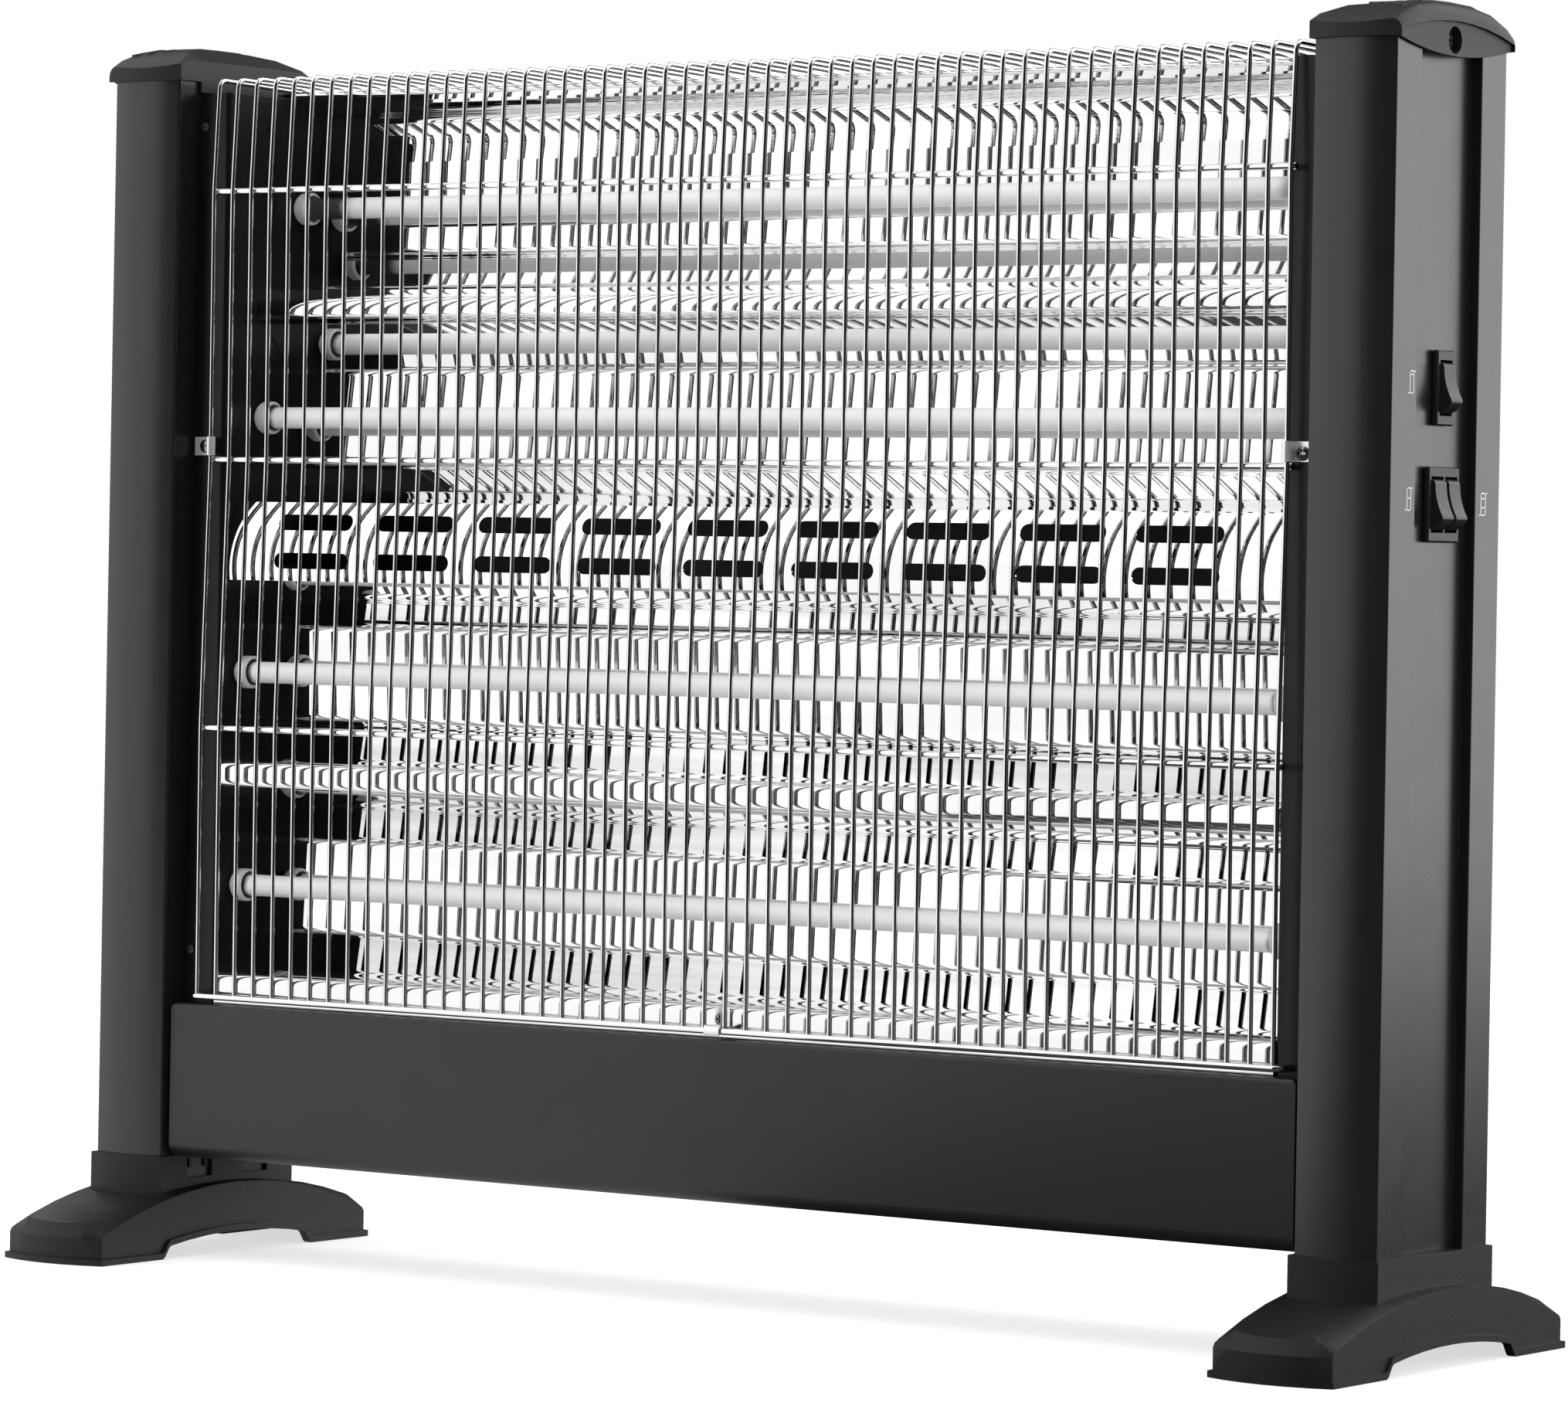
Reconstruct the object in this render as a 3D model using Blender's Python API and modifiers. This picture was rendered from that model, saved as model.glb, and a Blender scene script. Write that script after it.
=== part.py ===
# Infrared quartz heater: two posts on arched feet carry a folded bright reflector with four
# quartz tubes, a wire guard in front, a lower housing and rocker switches on the right post.
# X runs along the heater, the front faces -Y and Z is up. All sizes are in metres.

import math

import bmesh
import bpy
from mathutils import Matrix, Vector

# Clearance that neighbouring pieces keep
CLEAR = 0.0003

# Posts
SPAN = 0.6550
POST_WIDTH = 0.0372
POST_BOW = 0.0030
POST_WALL = 0.0022
POST_ROOT = 0.0220
POST_LAP = 0.0035
RECESS_WIDTH = 0.0474
RECESS_DEPTH = 0.0048

# Body between the posts
BODY_DEPTH = 0.0850
FACE_INSET = 0.00265
COVER_PROUD = 0.00035
FLANGE_INSET = 0.0105
SHEET = 0.0010
BRIGHT_SHEET = 0.0008
PLATE_INSET = 0.0180
PANEL_GAP = 0.0020
BEND = 0.0020

# Lower housing
COLLAR_TOP = 0.0443
HOUSING_HEIGHT = 0.0680
PANEL_BEND = 0.0060
PANEL_CORNER = 0.0020
PANEL_FOLD = 0.0016
COVER_LIP = 0.0180

# Reflector: troughs are listed from the bottom up
LIP_HEIGHT = 0.0125
TUBE_BASE = 0.0523
TUBE_PITCH = 0.0942
PAIR_GAP = 0.1130
FACET_HEIGHT = 0.0420
FACET_LEAN = 0.0012
TROUGH_INSETS = (0.0412, 0.0412, 0.0284, 0.0024)
TUBE_STANDOFFS = (0.0182, 0.0177, 0.0197, 0.0208)
LIP_INSET = -0.0007
LOWER_RIDGE_INSET = 0.0012
UPPER_RIDGE_INSET = 0.0255
RIDGE_RADIUS = 0.0070
FOLD_RADIUS = 0.0030
TOP_LIP_INSET = 0.0377
TOP_LIP_DEPTH = 0.0288
TOP_LIP_RISE = 0.0514
TOP_LIP_RADIUS = 0.0012

# Vent strip between the two pairs of troughs
VENT_DROP = 0.0376
VENT_RISE = 0.0408
VENT_INSETS = (0.0034, 0.0059, 0.0098)
VENT_LAP = 0.0042
SLOT_LENGTH = 0.0415
SLOT_HEIGHT = 0.0065
SLOT_PITCH = 0.0556
SLOT_COLUMNS = 9
SLOT_ROW_GAP = 0.0169

# Quartz tubes, their coils and holders
TUBE_RADIUS = 0.00475
TUBE_BORE = 0.0034
CUP_RADIUS = 0.0072
CUP_LENGTH = 0.0052
CUP_SHOULDER = 0.0026
CUP_FLOOR = 0.0030
BOSS_RADIUS = 0.00375
BOSS_REACH = 0.0027

# Guard
WIRE_COUNT = 53
WIRE_RADIUS = 0.00105
ROD_RADIUS = 0.0015
WELD = 0.0004
GUARD_OVERHANG = 0.0036
ROD_LEVEL = 0.0035
ROD_PITCH = 0.1184
GUARD_REACH = (0.0074, 0.0082, 0.0048, 0.0056)
GUARD_TOP_REACH = 0.0025
GUARD_CREST = 0.0016
GUARD_TAIL = 0.0210
GUARD_BEND = 0.0040
ROD_END = 0.0067
ROD_HOOK = 0.0030

# Clips
CLIP_SHEET = 0.0008
CLIP_HEIGHT = 0.0082
LOWER_CLIP_WIDTH = 0.0078
LOWER_CLIP_HEIGHT = 0.0105

# Caps
CAP_GAP = 0.0026
CAP_WALL = 0.0014
CAP_RISE = 0.0160
CAP_SAG = 0.0074
CAP_FULLNESS = 3.4
CAP_SHOULDER = 0.0085
CAP_EDGE = 0.0050
CAP_BRIM = 0.0028
RIDGE_RUN = 0.0145
SIDE_FACE_DEPTH = 0.0013
SIDE_FACE_TOP = 0.0087
SIDE_FACE_SAG = 0.0060
APRON_DROP = 0.0051
APRON_SAG = 0.0048
APRON_CLEAR = 0.0003
SKIRT_DROP = 0.0047
SCREW_WELL_RADIUS = 0.0054
SCREW_WELL_DEPTH = 0.0050
RIB_COUNT = 4
RIB_PITCH = 0.0060
RIB_WIDTH = 0.0024
RIB_HEIGHT = 0.0007
RIB_REACH = 0.0270

# Feet
FOOT_OUTSET = 0.0005
FOOT_LENGTH = 0.1846
FOOT_WIDTH = 0.0564
FOOT_BOW = 0.0060
RIM_PROUD = 0.0015
RIM_HEIGHT = 0.0027
FOOT_END = 0.0116
SHOULDER_RUN = 0.0058
SHOULDER_RISE = 0.0079
SIDE_CREST = 0.0310
SIDE_FALL = 0.0188
TOP_CREST = 0.0313
TOP_FALL = 0.0137
CHAMFER_MID = 0.0030
CHAMFER_END = 0.0089
FOOT_WALL = 0.0024
COLLAR_WALL = 0.0015
ARCH_HALF = 0.0514
ARCH_STEP = 0.0054
ARCH_SIDE = 0.0057
ARCH_CROWN = 0.0093
WINDOW_WIDTH = 0.0172
WINDOW_HEIGHT = 0.0088
WINDOW_Y = 0.0192
WINDOW_DROP = 0.0015

# Switches on the right post
SWITCH_Y = 0.0023
SINGLE_Z = 0.3846
TWIN_Z = 0.3386
BEZEL_THICKNESS = 0.0030
BEZEL_HEIGHT = 0.0298
BEZEL_BORDER = 0.0020
OPENING_HALF = 0.01095
ROCKER_WIDTH = 0.0090
ROCKER_PITCH = 0.0109
ROCKER_RADIUS = 0.0106
ROCKER_NOSE = math.radians(46)
ROCKER_SWEEP = math.radians(100)
ROCKER_DISH = 0.0011
ROCKER_TILT = math.radians(15)
PIVOT_DEPTH = 0.0036
PIVOT_RADIUS = 0.0012
PIVOT_REACH = 0.0008
SWITCH_WALL = 0.0012
SWITCH_DEPTH = 0.0190

# Inside the housing and at the back
BLOCK_SIZE = (0.0420, 0.0180, 0.0150)
TILT_SIZE = (0.0260, 0.0150, 0.0170)
CUTOUT_RADIUS = 0.0056
CUTOUT_LENGTH = 0.0060
WIRING_RADIUS = 0.0022
WIRING_HOLE = 0.0045
WIRING_LEVEL = 0.0120
INLET_INSET = 0.0583
INLET_LEVEL = 0.0260
INLET_RADIUS = 0.0050
INLET_FLANGE = 0.0075
INLET_BORE = 0.0034

# How far a cutter runs past what it cuts
OVERRUN = 0.0050

# Places worked out from the sizes above
POST_OUTER = SPAN / 2
POST_INNER = POST_OUTER - POST_WIDTH
POST_X = (POST_OUTER + POST_INNER) / 2
POST_DEPTH = BODY_DEPTH + FACE_INSET - COVER_PROUD
FACE_Y = -POST_DEPTH / 2 + FACE_INSET
COVER_Y = POST_DEPTH / 2 + COVER_PROUD - SHEET
FLANGE_Y = FACE_Y + FLANGE_INSET
PLATE_X = POST_INNER - PLATE_INSET
REFLECTOR_X = PLATE_X - CLEAR
PANEL_X = POST_INNER - PANEL_GAP
INLET_X = PANEL_X - INLET_INSET
HOUSING_BASE = COLLAR_TOP
HOUSING_TOP = HOUSING_BASE + HOUSING_HEIGHT
LIP_BASE = HOUSING_TOP + CLEAR
TUBE_Z = [
    HOUSING_TOP + TUBE_BASE,
    HOUSING_TOP + TUBE_BASE + TUBE_PITCH,
    HOUSING_TOP + TUBE_BASE + TUBE_PITCH + PAIR_GAP,
    HOUSING_TOP + TUBE_BASE + 2 * TUBE_PITCH + PAIR_GAP,
]
BACK_Y = [COVER_Y - inset for inset in TROUGH_INSETS]
TUBE_Y = [back - FACET_LEAN / 2 - gap for back, gap in zip(BACK_Y, TUBE_STANDOFFS)]
BODY_TOP = TUBE_Z[3] + TOP_LIP_RISE
CAP_BASE = BODY_TOP + CAP_GAP
CAP_OUTER = POST_OUTER + CAP_BRIM
VENT_BASE = TUBE_Z[1] + VENT_RISE
VENT_TOP = TUBE_Z[2] - VENT_DROP
RECESS_X = POST_OUTER - RECESS_DEPTH
FOOT_X = POST_X + FOOT_OUTSET
ROD_Z = [HOUSING_TOP + ROD_LEVEL + step * ROD_PITCH for step in range(4)]
GUARD_Y = [FLANGE_Y - reach for reach in GUARD_REACH]
GUARD_X = PLATE_X + GUARD_OVERHANG
PIVOT_X = RECESS_X + BEZEL_THICKNESS - PIVOT_DEPTH
CUP_BACK = PLATE_X - CLEAR
CUP_FACE = CUP_BACK - CUP_SHOULDER - CUP_LENGTH

OBJECT_NAME = "infrared_heater"


def clear_scene():
    for obj in list(bpy.data.objects):
        bpy.data.objects.remove(obj, do_unlink=True)


def make_collection(name):
    collection = bpy.data.collections.new(name)
    bpy.context.scene.collection.children.link(collection)
    return collection


clear_scene()
PARTS = make_collection(OBJECT_NAME)
CUTTERS = make_collection("cutters")


# Materials

def make_material(name, colour, roughness, metallic):
    material = bpy.data.materials.new(name)
    material.use_nodes = True
    shader = material.node_tree.nodes["Principled BSDF"]
    shader.inputs["Base Color"].default_value = (*colour, 1.0)
    shader.inputs["Roughness"].default_value = roughness
    shader.inputs["Metallic"].default_value = metallic
    return material


LOOKS = {
    "dark_plastic": ((0.075, 0.077, 0.082), 0.45, 0.0),
    "dark_paint": ((0.070, 0.072, 0.077), 0.40, 0.0),
    "black_plate": ((0.020, 0.020, 0.022), 0.35, 0.3),
    "bright_sheet": ((0.86, 0.87, 0.88), 0.08, 1.0),
    "chrome_wire": ((0.75, 0.76, 0.77), 0.12, 1.0),
    "clip_steel": ((0.62, 0.62, 0.63), 0.28, 1.0),
    "milky_quartz": ((0.90, 0.91, 0.93), 0.25, 0.0),
    "ceramic": ((0.78, 0.78, 0.76), 0.50, 0.0),
    "resistance_wire": ((0.30, 0.27, 0.24), 0.45, 1.0),
    "switch_plastic": ((0.030, 0.030, 0.032), 0.30, 0.0),
    "block_plastic": ((0.70, 0.68, 0.62), 0.55, 0.0),
    "lead_sleeve": ((0.80, 0.78, 0.72), 0.60, 0.0),
    "rubber": ((0.020, 0.020, 0.020), 0.70, 0.0),
}


def finish(obj, look):
    colour, roughness, metallic = LOOKS[look]
    obj.data.materials.clear()
    obj.data.materials.append(make_material(obj.name, colour, roughness, metallic))
    return obj


# Building helpers

def add_object(name, mesh, collection=None):
    obj = bpy.data.objects.new(name, mesh)
    (collection or PARTS).objects.link(obj)
    return obj


def evaluated_mesh(obj):
    graph = bpy.context.evaluated_depsgraph_get()
    return bpy.data.meshes.new_from_object(obj.evaluated_get(graph))


def weld(mesh):
    shape = bmesh.new()
    shape.from_mesh(mesh)
    bmesh.ops.remove_doubles(shape, verts=shape.verts, dist=1e-6)
    bmesh.ops.recalc_face_normals(shape, faces=shape.faces)
    shape.to_mesh(mesh)
    shape.free()
    return mesh


def curve_to_object(name, curve, matrix=None):
    source = bpy.data.objects.new(name + "_curve", curve)
    PARTS.objects.link(source)
    if matrix is not None:
        source.matrix_world = matrix
    bpy.context.view_layer.update()
    mesh = weld(evaluated_mesh(source))
    obj = add_object(name, mesh)
    obj.matrix_world = source.matrix_world
    bpy.data.objects.remove(source)
    return obj


# Axes that a flat outline is drawn on, with the way it is extruded as the third column
PLANES = {
    "XY": Matrix(((1, 0, 0), (0, 1, 0), (0, 0, 1))),
    "YZ": Matrix(((0, 0, 1), (1, 0, 0), (0, 1, 0))),
    "XZ": Matrix(((1, 0, 0), (0, 0, -1), (0, 1, 0))),
}


def slab(name, outline, plane, start, end):
    """Flat outline drawn on a plane and extruded from start to end along the plane's normal."""
    curve = bpy.data.curves.new(name, "CURVE")
    curve.dimensions = "2D"
    curve.fill_mode = "BOTH"
    curve.extrude = abs(end - start) / 2
    spline = curve.splines.new("POLY")
    spline.points.add(len(outline) - 1)
    for point, (u, v) in zip(spline.points, outline):
        point.co = (u, v, 0, 1)
    spline.use_cyclic_u = True
    turn = PLANES[plane]
    middle = (start + end) / 2
    if plane == "XZ":
        middle = -middle
    place = Matrix.Translation(turn @ Vector((0, 0, middle))) @ turn.to_4x4()
    return curve_to_object(name, curve, place)


def box(name, low, high):
    """Box between two corners, from a unit cube."""
    shape = bmesh.new()
    bmesh.ops.create_cube(shape, size=1.0)
    size = [high[axis] - low[axis] for axis in range(3)]
    centre = [(high[axis] + low[axis]) / 2 for axis in range(3)]
    bmesh.ops.scale(shape, vec=size, verts=shape.verts)
    mesh = bpy.data.meshes.new(name)
    shape.to_mesh(mesh)
    shape.free()
    obj = add_object(name, mesh)
    obj.location = centre
    return obj


def cylinder(name, centre, direction, radius, length, sides):
    shape = bmesh.new()
    bmesh.ops.create_cone(shape, cap_ends=True, segments=sides, radius1=radius,
                          radius2=radius, depth=length)
    mesh = bpy.data.meshes.new(name)
    shape.to_mesh(mesh)
    shape.free()
    obj = add_object(name, mesh)
    turn = Vector(direction).to_track_quat("Z", "Y").to_matrix().to_4x4()
    obj.matrix_world = Matrix.Translation(centre) @ turn
    return obj


def loft(name, rings):
    """Solid through a row of closed rings with the same number of points."""
    shape = bmesh.new()
    rows = [[shape.verts.new(point) for point in ring] for ring in rings]
    count = len(rows[0])
    for lower, upper in zip(rows, rows[1:]):
        for index in range(count):
            after = (index + 1) % count
            shape.faces.new((lower[index], lower[after], upper[after], upper[index]))
    shape.faces.new(rows[0])
    shape.faces.new(rows[-1])
    bmesh.ops.recalc_face_normals(shape, faces=shape.faces)
    mesh = bpy.data.meshes.new(name)
    shape.to_mesh(mesh)
    shape.free()
    return add_object(name, mesh)


def sheet(name, path, plane, start, end, thickness, side):
    """Folded sheet: a path drawn on a plane, run from start to end and thickened to one side."""
    turn = PLANES[plane]
    shape = bmesh.new()
    rows = []
    for distance in (start, end):
        rows.append([shape.verts.new(turn @ Vector((u, v, distance))) for u, v in path])
    for index in range(len(path) - 1):
        corners = (rows[0][index], rows[0][index + 1], rows[1][index + 1], rows[1][index])
        shape.faces.new(corners)
    mesh = bpy.data.meshes.new(name)
    shape.to_mesh(mesh)
    shape.free()
    obj = add_object(name, mesh)
    wall = obj.modifiers.new("wall", "SOLIDIFY")
    wall.thickness = thickness
    wall.offset = side
    wall.use_even_offset = True
    return obj


def turned(name, profile, origin, direction, steps):
    """Profile of (radius, height) points turned round a direction through an origin."""
    shape = bmesh.new()
    points = [shape.verts.new((radius, 0, height)) for radius, height in profile]
    for first, second in zip(points, points[1:]):
        shape.edges.new((first, second))
    if profile[0][0] > 0:
        shape.edges.new((points[-1], points[0]))
    mesh = bpy.data.meshes.new(name)
    shape.to_mesh(mesh)
    shape.free()
    obj = add_object(name, mesh)
    screw = obj.modifiers.new("turn", "SCREW")
    screw.steps = steps
    screw.render_steps = steps
    screw.use_merge_vertices = True
    screw.merge_threshold = 0.00001
    screw.use_smooth_shade = False
    turn = Vector(direction).to_track_quat("Z", "Y").to_matrix().to_4x4()
    obj.matrix_world = Matrix.Translation(origin) @ turn
    return obj


def wires(name, paths, radius, resolution):
    """Round wires along straight runs between points, with closed ends."""
    curve = bpy.data.curves.new(name, "CURVE")
    curve.dimensions = "3D"
    curve.bevel_depth = radius
    curve.bevel_resolution = resolution
    curve.use_fill_caps = True
    for path in paths:
        spline = curve.splines.new("POLY")
        spline.points.add(len(path) - 1)
        for point, place in zip(spline.points, path):
            point.co = (*place, 1)
    return curve_to_object(name, curve)


def operate(obj, other, operation):
    PARTS.objects.unlink(other)
    CUTTERS.objects.link(other)
    other.hide_render = True
    other.display_type = "WIRE"
    modifier = obj.modifiers.new(operation.lower(), "BOOLEAN")
    modifier.operation = operation
    modifier.solver = "EXACT"
    modifier.object = other
    return obj


def cut(obj, cutter):
    return operate(obj, cutter, "DIFFERENCE")


def join(obj, other):
    return operate(obj, other, "UNION")


def keep_inside(obj, other):
    return operate(obj, other, "INTERSECT")


def edge_bevel(obj, width, segments=1, angle=40):
    bevel = obj.modifiers.new("bevel", "BEVEL")
    bevel.width = width
    bevel.segments = segments
    bevel.limit_method = "ANGLE"
    bevel.angle_limit = math.radians(angle)
    return obj


def mirrored(obj, name):
    """Copy of a finished piece on the other side of the middle plane."""
    bpy.context.view_layer.update()
    mesh = evaluated_mesh(obj)
    mesh.transform(Matrix.Scale(-1, 4, (1, 0, 0)) @ obj.matrix_world)
    mesh.flip_normals()
    return add_object(name, mesh)


def smooth(obj, angle=35):
    obj.data.shade_smooth()
    obj.data.set_sharp_from_angle(angle=math.radians(angle))
    return obj


# Outline helpers

def rounded(path, radius, steps=4, closed=False):
    """Path with each corner replaced by an arc, no larger than its sides allow."""
    points = [Vector(point) for point in path]
    count = len(points)
    result = []
    for index, corner in enumerate(points):
        if not closed and index in (0, count - 1):
            result.append(corner)
            continue
        to_last = points[index - 1] - corner
        to_next = points[(index + 1) % count] - corner
        half = to_last.angle(to_next) / 2
        reach = radius / math.tan(half)
        reach = min(reach, 0.45 * to_last.length, 0.45 * to_next.length)
        actual = reach * math.tan(half)
        bisector = (to_last.normalized() + to_next.normalized()).normalized()
        centre = corner + bisector * (actual / math.sin(half))
        first = corner + to_last.normalized() * reach - centre
        last = corner + to_next.normalized() * reach - centre
        sweep = math.atan2(first.x * last.y - first.y * last.x, first.dot(last))
        for step in range(steps + 1):
            angle = sweep * step / steps
            turn = Matrix.Rotation(angle, 2)
            result.append(centre + turn @ first)
    return [(point.x, point.y) for point in result]


def post_outline(inset, recess=True, outer=None):
    """Post section, drawn in by an inset: straight sides, bowed front and rear faces."""
    right = (POST_OUTER if outer is None else outer) - inset
    left = POST_INNER + inset
    corner_y = POST_DEPTH / 2 - inset
    middle = (left + right) / 2
    half = (right - left) / 2
    bow_steps = 6
    front = []
    for step in range(bow_steps + 1):
        across = -1 + 2 * step / bow_steps
        front.append((middle + half * across, -corner_y - POST_BOW * (1 - across * across)))
    rear = [(x, -y) for x, y in reversed(front)]
    side = []
    if recess:
        side_y = RECESS_WIDTH / 2 + inset
        side_x = POST_OUTER - RECESS_DEPTH - inset
        side = [(right, -side_y), (side_x, -side_y), (side_x, side_y), (right, side_y)]
    return front + side + rear


def stadium(centre_u, centre_v, length, height, steps=3):
    radius = height / 2
    run = (length - height) / 2
    points = []
    for side in (1, -1):
        for step in range(steps + 1):
            angle = side * math.pi / 2 - math.pi * step / steps
            u = centre_u + side * run + radius * math.cos(angle)
            v = centre_v + radius * math.sin(angle)
            points.append((u, v))
    return points


# Posts

def build_posts():
    top = CAP_BASE + POST_LAP
    post = slab("right_post", post_outline(0), "XY", POST_ROOT + CLEAR, top)
    plain = cut(post, slab("post_bore", post_outline(POST_WALL), "XY", 0, top + 0.01))
    left = mirrored(plain, "left_post")
    for name, centre_z, count in (("single", SINGLE_Z, 1), ("twin", TWIN_Z, 2)):
        half = switch_body_half(count) + CLEAR
        tall = OPENING_HALF + SWITCH_WALL + CLEAR
        low = (RECESS_X - 2 * POST_WALL, SWITCH_Y - half, centre_z - tall)
        high = (RECESS_X + POST_WALL, SWITCH_Y + half, centre_z + tall)
        cut(post, box(name + "_switch_hole", low, high))
    finish(post, "dark_paint")
    finish(left, "dark_paint")


# Caps

def dome_height(y):
    return CAP_BASE + CAP_RISE - CAP_SAG * abs(y / (POST_DEPTH / 2)) ** CAP_FULLNESS


def cap_section(y):
    """Section of the cap across X at a place along its length."""
    share = max(0.0, 1 - (y / (POST_DEPTH / 2)) ** 2)
    inner = POST_INNER - CAP_WALL - CLEAR
    crest = dome_height(y)
    shoulder = CAP_BASE + CAP_SHOULDER + 0.10 * CAP_SAG * share
    shoulder = min(shoulder, crest - 0.0001)
    ridge = inner + 0.0002 + RIDGE_RUN * share
    points = [(inner - 0.001, CAP_BASE - 0.002), (inner - 0.001, shoulder)]
    points.append((inner, shoulder))
    points.append((ridge, crest))
    arc_steps = 4
    for step in range(arc_steps + 1):
        angle = math.pi / 2 * (1 - step / arc_steps)
        x = CAP_OUTER - CAP_EDGE + CAP_EDGE * math.cos(angle)
        z = crest - CAP_EDGE + CAP_EDGE * math.sin(angle)
        points.append((x, z))
    points.append((CAP_OUTER, CAP_BASE - 0.002))
    return [(x, y, z) for x, z in points]


def arc_line(half_length, height, sag, steps):
    """Points of a shallow arc from one end to the other."""
    line = []
    for step in range(steps + 1):
        y = -half_length + 2 * half_length * step / steps
        line.append((y, height - sag * (y / half_length) ** 2))
    return line


def build_caps():
    reach = POST_DEPTH / 2 + CAP_WALL + CLEAR + POST_BOW + 0.002
    stations = 10
    turns = [math.pi * (step / stations - 0.5) for step in range(stations + 1)]
    ends = [reach * math.sin(turn) for turn in turns]
    cap = loft("right_cap", [cap_section(y) for y in ends])
    outline = post_outline(-(CAP_WALL + CLEAR), False, CAP_OUTER - CAP_WALL - CLEAR)
    top = CAP_BASE + CAP_RISE + 0.005
    keep_inside(cap, slab("cap_outline", outline, "XY", CAP_BASE, top))

    face_x = CAP_OUTER - SIDE_FACE_DEPTH
    half = POST_DEPTH / 2 + CAP_WALL
    low = CAP_BASE - APRON_DROP
    upper = arc_line(half, CAP_BASE + SIDE_FACE_TOP, SIDE_FACE_SAG, 8)
    face = [(-half, low - 0.01)] + upper + [(half, low - 0.01)]
    cut(cap, slab("cap_side_face", face, "YZ", face_x, CAP_OUTER + 0.01))

    # The apron hangs below the brim over the post and fills its recess
    lower = arc_line(half - 0.002, low, -APRON_SAG, 8)
    apron = lower + [(half - 0.002, CAP_BASE + 0.001), (-half + 0.002, CAP_BASE + 0.001)]
    join(cap, slab("cap_apron", apron, "YZ", POST_OUTER + APRON_CLEAR, face_x))
    fill_half = RECESS_WIDTH / 2 - CLEAR
    fill = arc_line(fill_half, low + 0.0005, -0.001, 4)
    fill += [(fill_half, CAP_BASE + 0.001), (-fill_half, CAP_BASE + 0.001)]
    join(cap, slab("cap_fill", fill, "YZ", RECESS_X + CLEAR, POST_OUTER + 0.0008))

    # The skirt hangs below the inner edge beside the end plate
    skirt_low = (POST_INNER - CAP_WALL - CLEAR, -POST_DEPTH / 2 + 0.0125, CAP_BASE - SKIRT_DROP)
    skirt_high = (POST_INNER - CLEAR, COVER_Y - CLEAR, CAP_BASE + 0.001)
    join(cap, box("cap_skirt", skirt_low, skirt_high))

    ribs = []
    for index in range(RIB_COUNT):
        x = POST_X - RIB_PITCH / 2 + index * RIB_PITCH
        end = RIB_REACH + 0.003 * index
        line = [(y, z + RIB_HEIGHT) for y, z in rib_line(end)]
        line = [(-end - 0.001, dome_height(end) - 0.001)] + line
        line.append((end + 0.001, dome_height(end) - 0.001))
        ribs.append(slab("cap_rib", line, "YZ", x - RIB_WIDTH / 2, x + RIB_WIDTH / 2))
    for rib in ribs:
        join(cap, rib)

    pocket = post_outline(-CLEAR)
    roof = CAP_BASE + POST_LAP + CLEAR
    cut(cap, slab("cap_pocket", pocket, "XY", CAP_BASE - 0.02, roof))
    well_length = SCREW_WELL_DEPTH + OVERRUN
    well_x = CAP_OUTER + OVERRUN - well_length / 2
    well = (well_x, -0.001, CAP_BASE + 0.0014)
    cut(cap, cylinder("cap_screw_well", well, (1, 0, 0), SCREW_WELL_RADIUS, well_length, 16))
    left = mirrored(cap, "left_cap")
    finish(cap, "dark_plastic")
    finish(left, "dark_plastic")


def rib_line(end):
    steps = 4
    line = []
    for step in range(steps + 1):
        y = -end + 2 * end * step / steps
        line.append((y, dome_height(y)))
    return line


# Feet

def arch_height(y):
    """Underside of the foot: flat pads at the ends, a rounded step and a shallow arch."""
    away = abs(y)
    if away >= ARCH_HALF:
        return 0.0
    inner = ARCH_HALF - ARCH_STEP
    if away <= inner:
        return ARCH_CROWN - (ARCH_CROWN - ARCH_SIDE) * (away / inner) ** 2
    share = (ARCH_HALF - away) / ARCH_STEP
    return ARCH_SIDE * share * share * (3 - 2 * share)


def arch_stations():
    inner = ARCH_HALF - ARCH_STEP
    steps = 4
    side = [ARCH_HALF - ARCH_STEP * step / steps for step in range(steps)]
    middle = [inner * (1 - step / steps) for step in range(steps)]
    half = side + middle
    return [-y for y in half] + [0.0] + half[::-1]


def foot_plan(half_length, half_width, z):
    """Plan of the foot with straight sides and bowed ends."""
    steps = 6
    front = []
    for step in range(steps + 1):
        across = -1 + 2 * step / steps
        y = -half_length - FOOT_BOW * (1 - across * across)
        front.append((FOOT_X + half_width * across, y, z))
    rear = [(x, -y, z) for x, y, z in reversed(front)]
    return front + rear


def foot_section(y, half_width, drop=0.0):
    """Section across the foot: upright sides and a chamfered crown, lowered by a drop."""
    share = (y / (FOOT_LENGTH / 2)) ** 2
    side = SIDE_CREST - SIDE_FALL * share - drop
    top = TOP_CREST - TOP_FALL * share - drop
    chamfer = CHAMFER_MID + (CHAMFER_END - CHAMFER_MID) * share
    wide = half_width + 0.001
    points = [(-wide, -0.005), (-wide, side), (-half_width, side)]
    points += [(-half_width + chamfer, top), (half_width - chamfer, top)]
    points += [(half_width, side), (wide, side), (wide, -0.005)]
    return [(FOOT_X + x, y, z) for x, z in points]


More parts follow.
